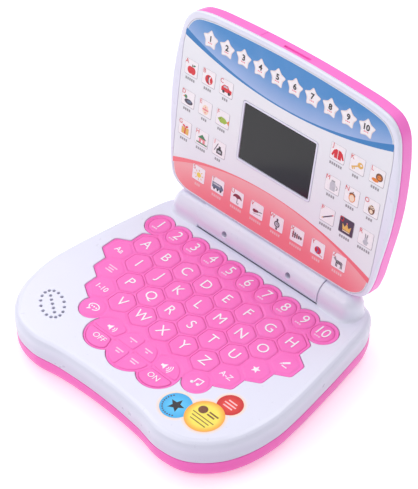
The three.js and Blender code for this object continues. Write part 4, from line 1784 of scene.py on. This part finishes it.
@dataclass
class Lid:
    """The lid's two shells, its dark window and the hinge barrel."""

    shop: Workshop
    hinge: HingeSizes = field(default_factory=HingeSizes)
    face: float = 4.7
    back: float = -9.6
    parting: float = 1.7
    window: tuple[float, float, float, float] = (-30.7, 30.7, 59.6, 101.4)
    barrel_screws: tuple[float, float] = (-29.0, 29.0)
    screw_line: float = 1.6
    screw_seat: float = 6.5
    outline: Outline = field(default_factory=lambda: smooth_outline(LID_OUTLINE, 200))
    panel: Outline = field(default_factory=lambda: smooth_outline(PANEL_OUTLINE, 180))

    def opening(self, grow: float, corner: float) -> Outline:
        """The window's rectangle, grown on all sides."""
        x0, x1, y0, y1 = self.window
        return rectangle(x0 - grow, x1 + grow, y0 - grow, y1 + grow, corner)

    def build_front(self) -> None:
        """The white front frame with the panel's recess and the raised rim of the window."""
        face = self.face
        frame = loft("front", self.outline, [*smooth_levels([
            (self.parting, 0.3), (face - 1.8, 0.0), (face - 0.8, 0.3), (face - 0.25, 0.9), (face, 1.9)]),
                                             (face, 2.3)])
        pocket = loft("pocket", inset(self.outline, 3), [(self.parting - 1, 0), (face - 2.1, 0)])
        combine(frame, pocket, Cut.AWAY)
        seat = loft("seat", self.panel, [
            (face - 0.75, 0), (face - 0.2, 0), (face - 0.05, -0.12), (face, -0.3), (face + 1, -0.3)])
        combine(frame, seat, Cut.AWAY)
        rim = loft("rim", self.opening(1.5, 2.2), [
            (face - 1.2, 0), (face - 0.1, 0), (face + 0.1, 0.12), (face + 0.2, 0.4)])
        combine(frame, rim, Cut.ADD)
        hole = loft("hole", self.opening(0, 0.8), [
            (face - 8, 0), (face - 0.3, 0), (face, -0.15), (face + 0.2, -0.5), (face + 2, -0.5)])
        combine(frame, hole, Cut.AWAY)
        self.shop.paint(frame, WHITE)
        self.shop.deliver(frame, "white_lid_frame", "lid", "white_shell", ["lid_front_frame"], 32)

    def build_back(self) -> None:
        """The pink back shell with the dip and the finger slot at its top edge."""
        back = self.back
        section = smooth_levels([(back, 4.4), (back + 0.4, 2.4), (back + 1.4, 0.9), (back + 3.2, 0.1), (0, 0),
                                 (self.parting - 0.7, 0.1)])
        shell = loft("back", self.outline, [(back, 4.9), *section, (self.parting - 0.35, 0.45)])
        inside = loft("inside", self.outline, [(back + 2, 5), (back + 4, 2.6), (self.parting + 1, 2.4)])
        combine(shell, inside, Cut.AWAY)
        dip = [(-28.6, 149.55), (28.6, 149.55), (29.4, 151), (29.4, 160), (-29.4, 160), (-29.4, 151)]
        combine(shell, prism("dip", dip, back - 1, self.parting + 1), Cut.AWAY)
        slot = prism("slot", rectangle(-11, 11, 148.1, 160, 0.8), -3.2, -0.9)
        combine(shell, slot, Cut.AWAY)
        self.shop.paint(shell, PINK_SHELL)
        self.shop.deliver(shell, "pink_lid_back", "lid", "pink_shell", ["lid_back_shell"], 32)

    def build_window(self) -> None:
        """The smoked window, slightly sunk in its rim."""
        pane = plate("pane", self.opening(-0.3, 0.6), self.face - 1.7, self.face - 0.3, 0.3)
        self.shop.paint(pane, WINDOW)
        self.shop.deliver(pane, "smoked_window_pane", "lid", "dark_window", ["screen_window"])

    def build_barrel(self) -> None:
        """The white hinge barrel with its web to the lid and two sunk screws."""
        sizes = self.hinge
        reach = sizes.boss_inner - 0.45
        barrel = bar("barrel", -reach, reach, 0, 0, sizes.barrel, 0.4, 128)
        web = [(self.back + 3.6, 1.2), (self.back + 4.4, 0.4), (self.face - 1.6, 0.4), (self.face - 0.8, 1.2)]
        block = loft("web", rectangle(-sizes.half + 0.1, sizes.half - 0.1, 0, 11.6, 1.2), [
            (web[0][0], 0.8), (web[1][0], 0), (web[2][0], 0), (web[3][0], 0.8)])
        combine(block, prism("trim", rectangle(-60, 60, 10.4, 20), -20, 20), Cut.AWAY)
        combine(barrel, block, Cut.ADD)
        above = prism("above", rectangle(-60, 60, 10.4, 20), -20, 20)
        combine(barrel, above, Cut.AWAY)
        for side in (-1, 1):
            inner, outer = side * (sizes.half - 12.3), side * (sizes.half + 1)
            combine(barrel, bar("bore", min(inner, outer), max(inner, outer), 0, 0, sizes.pin + 0.35, 0,
                                32), Cut.AWAY)
        heads = []
        for x in self.barrel_screws:
            well = loft("well", circle(x, self.screw_line, 2.1, 40), [
                (self.screw_seat, 0), (9.9, 0), (10.5, -0.15), (10.9, -0.6), (20, -0.6)])
            combine(barrel, well, Cut.AWAY)
            head = cross_screw(1.95, 0.8, 1.0)
            head.data.transform(Matrix.Translation((x, self.screw_line, self.screw_seat)))
            heads.append(head)
        self.shop.paint(barrel, WHITE)
        self.shop.deliver(barrel, "white_hinge_barrel", "lid", "white_shell", ["hinge_barrel"], 32)
        screws = self.shop.paint(joined("screws", heads), DARK_STEEL)
        self.shop.deliver(screws, "barrel_screws", "lid", "bare_steel", (), 32)

    def build(self) -> None:
        """Builds the lid's body."""
        self.build_front()
        self.build_back()
        self.build_window()
        self.build_barrel()


@dataclass(frozen=True)
class Mark:
    """One flat printed shape of a picture, in half tile widths."""

    ink: Ink
    outline: tuple[Point, ...]


def shape(ink: Ink, *points: Point) -> Mark:
    """A printed shape through its corners."""
    return Mark(ink, points)


def oval(ink: Ink, x: float, y: float, wide: float, tall: float, tilt: float = 0.0) -> Mark:
    """A printed oval, turned by some degrees.

    Args:
        ink: its ink.
        x: the middle.
        y: the middle.
        wide: half axis along x.
        tall: half axis along y.
        tilt: turn in degrees.

    Returns:
        The mark.
    """
    cos, sin = math.cos(math.radians(tilt)), math.sin(math.radians(tilt))
    flat = circle(0, 0, wide, 22, tall)
    return Mark(ink, tuple((x + u * cos - v * sin, y + u * sin + v * cos) for u, v in flat))


def stroke(ink: Ink, width: float, *points: Point) -> Mark:
    """A printed line of some width."""
    return Mark(ink, tuple(ribbon(points, width)))


def bent(ink: Ink, width: float, x: float, y: float, radius: float, start: float, end: float) -> Mark:
    """A printed arc between two angles in degrees.

    Args:
        ink: its ink.
        width: width of the line.
        x: the arc's middle.
        y: the arc's middle.
        radius: its radius.
        start: first angle.
        end: last angle.

    Returns:
        The mark.
    """
    turns = [math.radians(start + (end - start) * i / 12) for i in range(13)]
    return Mark(ink,
                tuple(ribbon([(x + radius * math.cos(a), y + radius * math.sin(a)) for a in turns], width)))


PICTURES: dict[str, tuple[Mark, ...]] = {
    "A": (oval(Ink.RED, -0.2, -0.2, 0.36, 0.42), oval(Ink.RED, 0.2, -0.2, 0.36, 0.42),
          stroke(Ink.BROWN, 0.1, (0, 0.15), (0.1, 0.5)), oval(Ink.GREEN, 0.32, 0.42, 0.2, 0.09, 25)),
    "B": (oval(Ink.RED, 0, -0.12, 0.52, 0.52), bent(Ink.SLATE, 0.14, -0.5, -0.12, 0.5, -50, 50),
          bent(Ink.WHITE, 0.14, 0.55, -0.12, 0.5, 130, 230)),
    "C": (shape(Ink.RED, (-0.7, -0.4), (0.7, -0.4), (0.7, 0), (0.35, 0.05), (0.15, 0.35), (-0.35, 0.35),
                (-0.7, 0)),
          shape(Ink.PALE, (-0.45, 0.05), (0.2, 0.05), (0.08, 0.26), (-0.3, 0.26)),
          oval(Ink.BLACK, -0.38, -0.42, 0.17, 0.17), oval(Ink.BLACK, 0.38, -0.42, 0.17, 0.17)),
    "D": (oval(Ink.SLATE, 0.05, -0.3, 0.58, 0.3), oval(Ink.GREEN, -0.38, 0.16, 0.2, 0.2),
          shape(Ink.ORANGE, (-0.55, 0.22), (-0.55, 0.06), (-0.82, 0.1)),
          oval(Ink.STEELY, 0.15, -0.26, 0.34, 0.15, 12)),
    "E": (oval(Ink.CREAM, 0, -0.08, 0.42, 0.56), oval(Ink.ROSE, 0, -0.08, 0.44, 0.1),
          oval(Ink.ROSE, 0, 0.2, 0.1, 0.08), oval(Ink.ROSE, 0, -0.38, 0.1, 0.08)),
    "F": (shape(Ink.LIME, (-0.7, -0.1), (-0.25, 0.25), (0.3, 0.2), (0.65, -0.1), (0.3, -0.42), (-0.3, -0.45)),
          shape(Ink.ORANGE, (0.55, -0.08), (0.85, 0.25), (0.85, -0.4)),
          oval(Ink.BLACK, -0.38, 0, 0.07, 0.07)),
    "G": (shape(Ink.GOLD, (-0.5, -0.6), (0.5, -0.6), (0.5, 0.15), (-0.5, 0.15)),
          stroke(Ink.RED, 0.16, (0, -0.6), (0, 0.15)),
          oval(Ink.RED, -0.2, 0.3, 0.2, 0.11, -25), oval(Ink.RED, 0.2, 0.3, 0.2, 0.11, 25)),
    "H": (shape(Ink.ROSE, (-0.42, -0.5), (0.42, -0.5), (0.42, 0.05), (-0.42, 0.05)),
          shape(Ink.GREEN, (-0.6, 0), (0.6, 0), (0, 0.5)),
          shape(Ink.GREEN, (-0.75, -0.62), (0.75, -0.62), (0.75, -0.48),
                  (-0.75, -0.48)),
          shape(Ink.WHITE, (-0.12, -0.48), (0.12, -0.48), (0.12, -0.15), (-0.12, -0.15))),
    "I": (shape(Ink.BLACK, (-0.35, -0.55), (0.45, -0.55), (0.45, -0.05), (0.2, 0.12), (0.2, 0.35),
                (-0.1, 0.35),
                (-0.1, 0.12), (-0.35, -0.05)), stroke(Ink.SLATE, 0.09, (-0.65, -0.35), (-0.2, 0.6)),
          shape(Ink.PALE, (-0.18, -0.4), (0.28, -0.4), (0.28, -0.15), (-0.18, -0.15))),
    "J": (shape(Ink.RED, (-0.3, 0.42), (0.3, 0.42), (0.48, 0.25), (0.42, -0.55), (-0.42, -0.55),
                (-0.48, 0.25)),
          stroke(Ink.RED, 0.22, (-0.42, 0.25), (-0.68, -0.4)),
          stroke(Ink.RED, 0.22, (0.42, 0.25), (0.68, -0.4)),
          stroke(Ink.WHITE, 0.06, (0, 0.42), (0, -0.55))),
    "K": (oval(Ink.GOLD, 0.32, 0.12, 0.34, 0.32), oval(Ink.WHITE, 0.4, 0.18, 0.11, 0.11),
          stroke(Ink.GOLD, 0.15, (0.1, -0.02), (-0.68, -0.42)),
          stroke(Ink.GOLD, 0.13, (-0.4, -0.3), (-0.28, -0.52)),
          stroke(Ink.GOLD, 0.13, (-0.6, -0.4), (-0.48, -0.62))),
    "L": (oval(Ink.BROWN, 0.22, 0.05, 0.42, 0.42), oval(Ink.ORANGE, 0.22, 0.02, 0.25, 0.25),
          oval(Ink.ORANGE, -0.22, -0.42, 0.42, 0.2), oval(Ink.BLACK, 0.14, 0.06, 0.035, 0.05),
          oval(Ink.BLACK, 0.32, 0.06, 0.035, 0.05)),
    "M": (shape(Ink.PALE, (-0.32, -0.6), (0.32, -0.6), (0.36, 0.1), (0.2, 0.45), (-0.2, 0.45), (-0.36, 0.1)),
          shape(Ink.GREY, (-0.22, 0.4), (0.22, 0.4), (0.22, 0.55), (-0.22, 0.55)),
          bent(Ink.GREY, 0.09, 0.38, -0.12, 0.2, -80, 80)),
    "N": (oval(Ink.ORANGE, 0, -0.12, 0.4, 0.48), oval(Ink.CREAM, 0, -0.16, 0.3, 0.36),
          bent(Ink.BROWN, 0.14, 0, 0.02, 0.36, 20, 160), stroke(Ink.BROWN, 0.1, (0, 0.35), (0.06, 0.58))),
    "O": (oval(Ink.BROWN, 0, -0.15, 0.4, 0.5), oval(Ink.CREAM, -0.15, 0.12, 0.15, 0.15),
          oval(Ink.CREAM, 0.15, 0.12, 0.15, 0.15), oval(Ink.BLACK, -0.15, 0.12, 0.07, 0.07),
          oval(Ink.BLACK, 0.15, 0.12, 0.07, 0.07), oval(Ink.CREAM, 0, -0.34, 0.2, 0.22)),
    "P": (stroke(Ink.SLATE, 0.13, (-0.52, -0.42), (0.58, 0.32)),
          shape(Ink.GOLD, (-0.56, -0.35), (-0.48, -0.48), (-0.72, -0.54)),
          stroke(Ink.ROSE, 0.14, (0.56, 0.31), (0.7, 0.4))),
    "Q": (shape(Ink.GOLD, (-0.45, -0.4), (0.45, -0.4), (0.55, 0.25), (0.24, -0.05), (0, 0.38), (-0.24, -0.05),
                (-0.55, 0.25)), oval(Ink.ROSE, 0, 0.42, 0.08, 0.08),
          stroke(Ink.CREAM, 0.1, (-0.45, -0.5), (0.45, -0.5))),
    "R": (oval(Ink.PALE, 0.02, -0.38, 0.34, 0.3), oval(Ink.PALE, 0, 0.02, 0.2, 0.2),
          oval(Ink.GREY, -0.1, 0.36, 0.07, 0.24, 8), oval(Ink.GREY, 0.12, 0.36, 0.07, 0.24, -8),
          oval(Ink.WHITE, 0.34, -0.48, 0.11, 0.11)),
    "S": (oval(Ink.YELLOW, 0, -0.05, 0.3, 0.3), *[
        stroke(Ink.GOLD, 0.09, (0.4 * math.cos(a), 0.4 * math.sin(a) - 0.05),
               (0.62 * math.cos(a), 0.62 * math.sin(a) - 0.05))
        for a in (i * math.pi / 4 for i in range(8))]),
    "T": (shape(Ink.STEELY, (-0.8, -0.35), (0.6, -0.35), (0.78, -0.05), (0.5, 0.3), (-0.8, 0.3)),
          shape(Ink.PALE, (-0.65, 0.02), (0.35, 0.02), (0.35, 0.2), (-0.65, 0.2)),
          oval(Ink.BLACK, -0.5, -0.42, 0.13, 0.13), oval(Ink.BLACK, 0, -0.42, 0.13, 0.13),
          oval(Ink.BLACK, 0.42, -0.42, 0.13, 0.13)),
    "U": (Mark(Ink.WINE, tuple([*[(0.62 * math.cos(a * math.pi / 12), 0.5 * math.sin(a * math.pi / 12))
                                  for a in range(13)], (-0.3, 0.1), (0, -0.02), (0.3, 0.1)])),
          stroke(Ink.SLATE, 0.07, (0, 0.0), (0, -0.48)), bent(Ink.SLATE, 0.07, 0.1, -0.48, 0.1, 180, 360)),
    "V": (oval(Ink.WINE, -0.32, -0.1, 0.26, 0.2), oval(Ink.WINE, -0.02, -0.04, 0.2, 0.16),
          stroke(Ink.BLACK, 0.08, (0, -0.04), (0.68, 0.06)),
          stroke(Ink.BROWN, 0.04, (-0.5, -0.45), (0.6, -0.3))),
    "W": (oval(Ink.BLACK, 0, -0.08, 0.36, 0.36), oval(Ink.PALE, 0, -0.08, 0.25, 0.25),
          stroke(Ink.BLACK, 0.06, (0, -0.08), (0, 0.1)), stroke(Ink.BLACK, 0.06, (0, -0.08), (0.13, -0.12)),
          stroke(Ink.SLATE, 0.22, (0, 0.3), (0, 0.58)), stroke(Ink.SLATE, 0.22, (0, -0.46), (0, -0.72))),
    "X": (*[stroke((Ink.WINE, Ink.SLATE)[i % 2], 0.17, (-0.56 + 0.26 * i, -0.38 + 0.05 * i),
                   (-0.56 + 0.26 * i, 0.36 - 0.05 * i)) for i in range(5)],
          stroke(Ink.BROWN, 0.06, (-0.7, 0), (0.64, 0))),
    "Y": (oval(Ink.RED, 0, -0.1, 0.42, 0.42), bent(Ink.BLUE, 0.08, -0.4, -0.1, 0.42, -55, 55),
          bent(Ink.VIOLET, 0.08, -0.25, -0.4, 0.5, 5, 85), stroke(Ink.RED, 0.06, (0.2, -0.48), (0.66, -0.6))),
    "Z": (oval(Ink.GREY, 0, -0.02, 0.46, 0.2),
          shape(Ink.GREY, (-0.5, 0), (-0.3, 0.1), (-0.5, 0.42), (-0.76, 0.25)),
          *[stroke(Ink.BLACK, 0.08, (-0.3 + 0.18 * i, -0.2), (-0.26 + 0.18 * i, 0.17)) for i in range(4)],
          *[stroke(Ink.BLACK, 0.08, (x, -0.12), (x, -0.6)) for x in (-0.36, -0.22, 0.24, 0.38)]),
}


def bowl(foot: float, radius: float) -> Callable[[float], float]:
    """An arc that is open upwards, as its height at a place across the lid."""
    return lambda x: foot + radius - math.sqrt(radius**2 - x**2)


def dome(top: float, radius: float) -> Callable[[float], float]:
    """An arc that is open downwards, as its height at a place across the lid."""
    return lambda x: top - radius + math.sqrt(radius**2 - x**2)


@dataclass
class PicturePanel:
    """The printed sheet round the window: two coloured fields, number stars and picture tiles."""

    shop: Workshop
    lid: Lid
    low: float = 4.35
    top: float = 4.62
    tile: float = 5.7
    block_x: float = 63.9
    tile_pitch: Point = (15.96, 23.0)
    block_rows: tuple[float, float, float] = (103.6, 80.6, 57.6)
    bottom_row: Point = (18.0, 29.9)
    star_row: Point = (14.67, 130.6)
    letter_pitch: float = 1.75
    print_base: float = 0.04
    layer_step: float = 0.015
    ink_thickness: float = 0.014
    letter_layer: int = 6

    def sheet(self) -> None:
        """The off-white sheet with the hole for the window's rim."""
        card = loft("card", inset(self.lid.panel, 0.3), [
            (self.low, 0), (self.top - 0.06, 0), (self.top, 0.08)])
        combine(card, prism("hole", self.lid.opening(1.8, 2.4), 0, 10), Cut.AWAY)
        self.shop.paint(card, PANEL)
        self.shop.deliver(card, "printed_panel_sheet", "lid", "picture_print", ["picture_panel"])

    def field_outline(self, keep: Callable[[float], bool], arc: Callable[[float], float],
                      edge: float) -> Outline:
        """The part of the sheet on one side of an arc.

        Args:
            keep: whether a signed height above the arc belongs to the field.
            arc: the arc's height at a place across the lid.
            edge: how far the field stays inside the sheet.

        Returns:
            The field's outline.
        """
        fine = dense(inset(self.lid.panel, edge), 0.6)
        kept = [keep(y - arc(x)) for x, y in fine]
        start = next(i for i in range(len(fine)) if kept[i] and not kept[i - 1])
        ordered = [*fine[start:], *fine[:start]]
        side = [point for point in ordered if keep(point[1] - arc(point[0]))]
        (x0, _), (x1, _) = side[-1], side[0]
        across = [x0 + (x1 - x0) * i / 60 for i in range(61)]
        return [*side, *[(x, arc(x)) for x in across]]

    def crescent(self, first: Callable[[float], float], second: Callable[[float], float],
                 reach: float) -> Outline:
        """The thin moon between two arcs."""
        across = [reach * (i / 40 - 1) for i in range(81)]
        return [*[(x, first(x)) for x in across], *[(x, second(x)) for x in reversed(across)]]

    def fields(self) -> None:
        """The blue field above, the coral field below, and the stronger band along each."""
        hinge = tuple(self.shop.datum.hinge)
        blue = ArcPrint("blue_field_print", "picture_print", (68, 140, 206), (166, 190, 234), 0.42, 0.05,
                        60.0,
                        hinge=hinge, centre=404.8, near=270, far=293)
        coral = ArcPrint("coral_field_print", "picture_print", (252, 130, 142), (250, 178, 182), 0.42, 0.05,
                         60.0,
                         hinge=hinge, centre=-199.6, near=222, far=247)
        z = self.top
        upper = self.field_outline(lambda h: h > 0, bowl(111.8, 293), 0.9)
        lower = self.field_outline(lambda h: h < 0, dome(47.4, 247), 0.9)
        strong_blue = Finish("blue_band_print", "picture_print", (44, 124, 192), (52, 132, 198), 0.42)
        strong_coral = Finish("coral_band_print", "picture_print", (250, 116, 128), (248, 124, 136), 0.42)
        parts = [
            self.shop.paint(prism("upper", upper, z, z + 0.02), blue),
            self.shop.paint(prism("lower", lower, z, z + 0.02), coral),
            self.shop.paint(prism("band", self.crescent(bowl(111.6, 293), bowl(112.6, 227.6), 88.0),
                                  z + 0.02, z + 0.035), strong_blue),
            self.shop.paint(prism("band", self.crescent(dome(46.9, 206), dome(47.5, 247), 88.0),
                                  z + 0.02, z + 0.035), strong_coral),
        ]
        fields = joined("fields", parts)
        self.shop.deliver(fields, "printed_colour_fields", "lid", "picture_print")

    def mark(self, outline: Sequence[Point], ink: Ink, layer: float) -> Solid:
        """One printed mark on the sheet; layers lie on each other."""
        z = self.top + self.print_base + self.layer_step * layer
        return self.shop.paint(prism("mark", list(outline), z, z + self.ink_thickness), ink.finish())

    def letters(self, words: str, height: float, x: float, y: float, ink: Ink, weight: float) -> Solid:
        """Printed letters or numbers on the sheet.

        Args:
            words: what is written.
            height: height of a capital.
            x: middle of the writing.
            y: middle of the writing.
            ink: the ink.
            weight: how much the strokes are thickened.

        Returns:
            The letters.
        """
        z = self.top + self.print_base + self.layer_step * self.letter_layer
        return self.shop.paint(lettering("letters", words, height, x, y, z, self.ink_thickness, weight),
                               ink.finish())

    def caption(self, x: float, y: float, count: int, ink: Ink) -> list[Solid]:
        """A caption as a row of plain blocks.

        Args:
            x: middle of the row.
            y: middle of the row.
            count: number of blocks.
            ink: their ink.

        Returns:
            The marks.
        """
        left = x - self.letter_pitch * count / 2
        return [self.mark(rectangle(left + self.letter_pitch * i, left + self.letter_pitch * (i + 0.72),
                                    y - 0.95, y + 0.95), ink, 1) for i in range(count)]

    def picture_tile(self, letter: str, x: float, y: float, count: int, on_coral: bool) -> None:
        """One tile: shadow, white square, picture, initial and caption.

        Args:
            letter: the picture's initial.
            x: the tile's middle.
            y: the tile's middle.
            count: number of blocks in the caption.
            on_coral: whether the tile lies on the coral field.
        """
        half = self.tile
        shade = Ink.ROSE if on_coral else Ink.SHADE
        parts = [self.mark(rectangle(x - half - 0.16, x + half + 0.4, y - half - 0.4, y + half + 0.16, 1.0,
                                     4), shade, 0),
                 self.mark(rectangle(x - half, x + half, y - half, y + half, 0.8, 4),
                           Ink.SLATE if letter == "Q" else Ink.WHITE, 1)]
        for layer, mark in enumerate(PICTURES[letter]):
            drawn = [(x + half * (1.15 * u + 0.06), y + half * (1.15 * v - 0.08)) for u, v in mark.outline]
            parts.append(self.mark(drawn, mark.ink, 2 + min(layer, 3)))
        initial = self.letters(letter, 3.3, x - half + 1.6, y + half - 1.8, Ink.RED, 0.0)
        parts.append(initial)
        parts += self.caption(x, y - 8.6, count, Ink.CAPTION if on_coral else Ink.GREY)
        tile = joined("tile", parts)
        self.shop.deliver(tile, f"picture_tile_{letter}", "lid", "picture_print")

    def tiles(self) -> None:
        """Two blocks of nine tiles and the row of eight at the bottom."""
        blocks = (5, 4, 3, 4, 3, 4, 4, 5, 3, 6, 3, 4, 4, 4, 3, 6, 5, 6, 3, 5, 6, 6, 5, 6, 4, 5)
        lengths = dict(zip(PICTURES, blocks))
        for sign, letters in ((-1, "ABCDEFGHI"), (1, "JKLMNOPQR")):
            for i, letter in enumerate(letters):
                row, column = divmod(i, 3)
                x = sign * self.block_x + (column - 1) * self.tile_pitch[0]
                self.picture_tile(letter, x, self.block_rows[row], lengths[letter], False)
        for i, letter in enumerate("STUVWXYZ"):
            self.picture_tile(letter, (i - 3.5) * self.bottom_row[0], self.bottom_row[1], lengths[letter],
                              True)

    def stars(self) -> None:
        """Ten white stars with the numbers one to ten."""
        parts = []
        for i in range(10):
            x, y = (i - 4.5) * self.star_row[0], self.star_row[1]
            parts.append(self.mark(star(x, y, 7.5, 4.5, 3), Ink.PEACH, 0))
            parts.append(self.mark(star(x, y, 6.8, 3.75, 3), Ink.WHITE, 1))
            parts.append(self.letters(str(i + 1), 4.1, x, y + 0.7, Ink.BLACK, 0.2))
            parts += [self.mark(rectangle(x - 1.9 + 1.3 * j, x - 1.0 + 1.3 * j, y - 2.9, y - 2.1), Ink.ROSE,
                                2)
                      for j in range(3)]
        self.shop.deliver(joined("stars", parts), "number_stars", "lid", "picture_print")

    def build(self) -> None:
        """Builds the sheet and everything printed on it."""
        self.sheet()
        self.fields()
        self.stars()
        self.tiles()


# -------- inside and studio


@dataclass
class Insides:
    """The model's own inner parts, which keep their shape and get their finish."""

    nodes: dict[str, Solid]

    def build(self) -> None:
        """Gives each inner part its material."""
        finishes = {"key_membrane": FILM, "main_circuit_board": BOARD, "speaker": SPEAKER,
                    "hinge_pin_left": STEEL, "hinge_pin_right": STEEL}
        finishes.update({f"battery_cell_{i}": CELL_CASE for i in (1, 2, 3)})
        for name, finish in finishes.items():
            part = self.nodes[name]
            part.data.materials.clear()
            part.data.materials.append(finish.made())
            log.info("%s: kept, finished as %s", name, finish.name)


@dataclass
class Studio:
    """Camera, soft lights and the pale floor."""

    eye: Vector = field(default_factory=lambda: Vector((0.58049, -0.55381, 0.80655)))
    right: Vector = field(default_factory=lambda: Vector((0.70703806, 0.70696864, -0.01710328)))
    down: Vector = field(default_factory=lambda: Vector((0.46418191, -0.48220192, -0.7429781)))
    lens: float = 126.6
    sensor: float = 36.0
    nearest: float = 0.01
    aim: Vector = field(default_factory=lambda: Vector((0, 0, 0.05)))
    floor_width: float = 6.0
    floor_glow: float = 0.3
    room_low: float = 0.3
    room_high: float = 0.72

    def camera(self) -> None:
        """The camera, level but for a slight roll."""
        ahead = self.right.cross(self.down)
        view = bpy.data.cameras.new("view")
        view.lens = self.lens
        view.sensor_width = self.sensor
        view.sensor_fit = "AUTO"
        view.clip_start = self.nearest
        camera = bpy.data.objects.new("view", view)
        turn = Matrix((self.right, -self.down, -ahead)).transposed().to_4x4()
        camera.matrix_world = Matrix.Translation(self.eye) @ turn
        bpy.context.scene.collection.objects.link(camera)
        bpy.context.scene.camera = camera

    def lamp(self, name: str, place: Vector, size: float, power: float, colour: Colour) -> None:
        """A square soft light aimed at the object's middle.

        Args:
            name: the lamp's name.
            place: where it stands.
            size: width of its face.
            power: power in watts.
            colour: its colour.
        """
        light = bpy.data.lights.new(name, "AREA")
        light.shape = "SQUARE"
        light.size = size
        light.energy = power
        light.color = colour
        lamp = bpy.data.objects.new(name, light)
        aim = (self.aim - place).to_track_quat("-Z", "Y")
        lamp.matrix_world = Matrix.Translation(place) @ aim.to_matrix().to_4x4()
        bpy.context.scene.collection.objects.link(lamp)

    def floor(self) -> None:
        """The plain floor under the object."""
        deselect()
        bpy.ops.mesh.primitive_plane_add(size=self.floor_width)
        floor = bpy.context.object
        floor.name = "pale_floor"
        nodes = Nodes("pale_floor")
        share = nodes.spread(nodes.noise(8.0), 0.0, 1.0)
        nodes.link(nodes.blend(share, (255, 255, 255), (253, 253, 254)), nodes.surface.inputs["Base Color"])
        nodes.surface.inputs["Roughness"].default_value = 0.9
        nodes.surface.inputs["Emission Color"].default_value = (1, 1, 1, 1)
        nodes.surface.inputs["Emission Strength"].default_value = self.floor_glow
        floor.data.materials.append(nodes.material)

    def surroundings(self) -> None:
        """A white room and plain colours."""
        scene = bpy.context.scene
        world = bpy.data.worlds.new("white_room")
        world.use_nodes = True
        background = world.node_tree.nodes["Background"]
        background.inputs["Color"].default_value = (0.97, 0.975, 1.0, 1.0)
        tree = world.node_tree
        place = tree.nodes.new("ShaderNodeTexCoord")
        split = tree.nodes.new("ShaderNodeSeparateXYZ")
        fade = tree.nodes.new("ShaderNodeMapRange")
        for label, value in (("From Min", 0.0), ("From Max", 0.8), ("To Min", self.room_low),
                             ("To Max", self.room_high)):
            fade.inputs[label].default_value = value
        tree.links.new(place.outputs["Generated"], split.inputs[0])
        tree.links.new(split.outputs["Z"], fade.inputs["Value"])
        tree.links.new(fade.outputs["Result"], background.inputs["Strength"])
        scene.world = world
        scene.view_settings.view_transform = "Standard"
        scene.view_settings.look = "None"

    def build(self) -> None:
        """Sets up the studio."""
        self.camera()
        self.lamp("top_left", Vector((-0.95, 0.1, 1.1)), 0.9, 5.0, (1.0, 0.99, 1.0))
        self.lamp("front", Vector((-0.45, -1.0, 1.1)), 0.8, 4.0, (1.0, 1.0, 1.0))
        self.lamp("above", Vector((0.1, 0.6, 1.25)), 0.7, 3.8, (1.0, 0.98, 1.0))
        self.floor()
        self.surroundings()


def main() -> None:
    """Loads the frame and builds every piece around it."""
    logging.basicConfig(level=logging.INFO, format="%(name)s %(message)s")
    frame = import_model()
    deselect()
    Studio().build()
    shop = Workshop(Datum())
    layout = KeypadLayout()
    Base(shop, layout).build()
    Keypad(shop, layout).build()
    Sticker(shop).build()
    lid = Lid(shop)
    lid.build()
    PicturePanel(shop, lid).build()
    Insides(frame["nodes"]).build()
    deselect()
    log.info("%d pieces", len(shop.made))


if __name__ == "__main__":
    main()
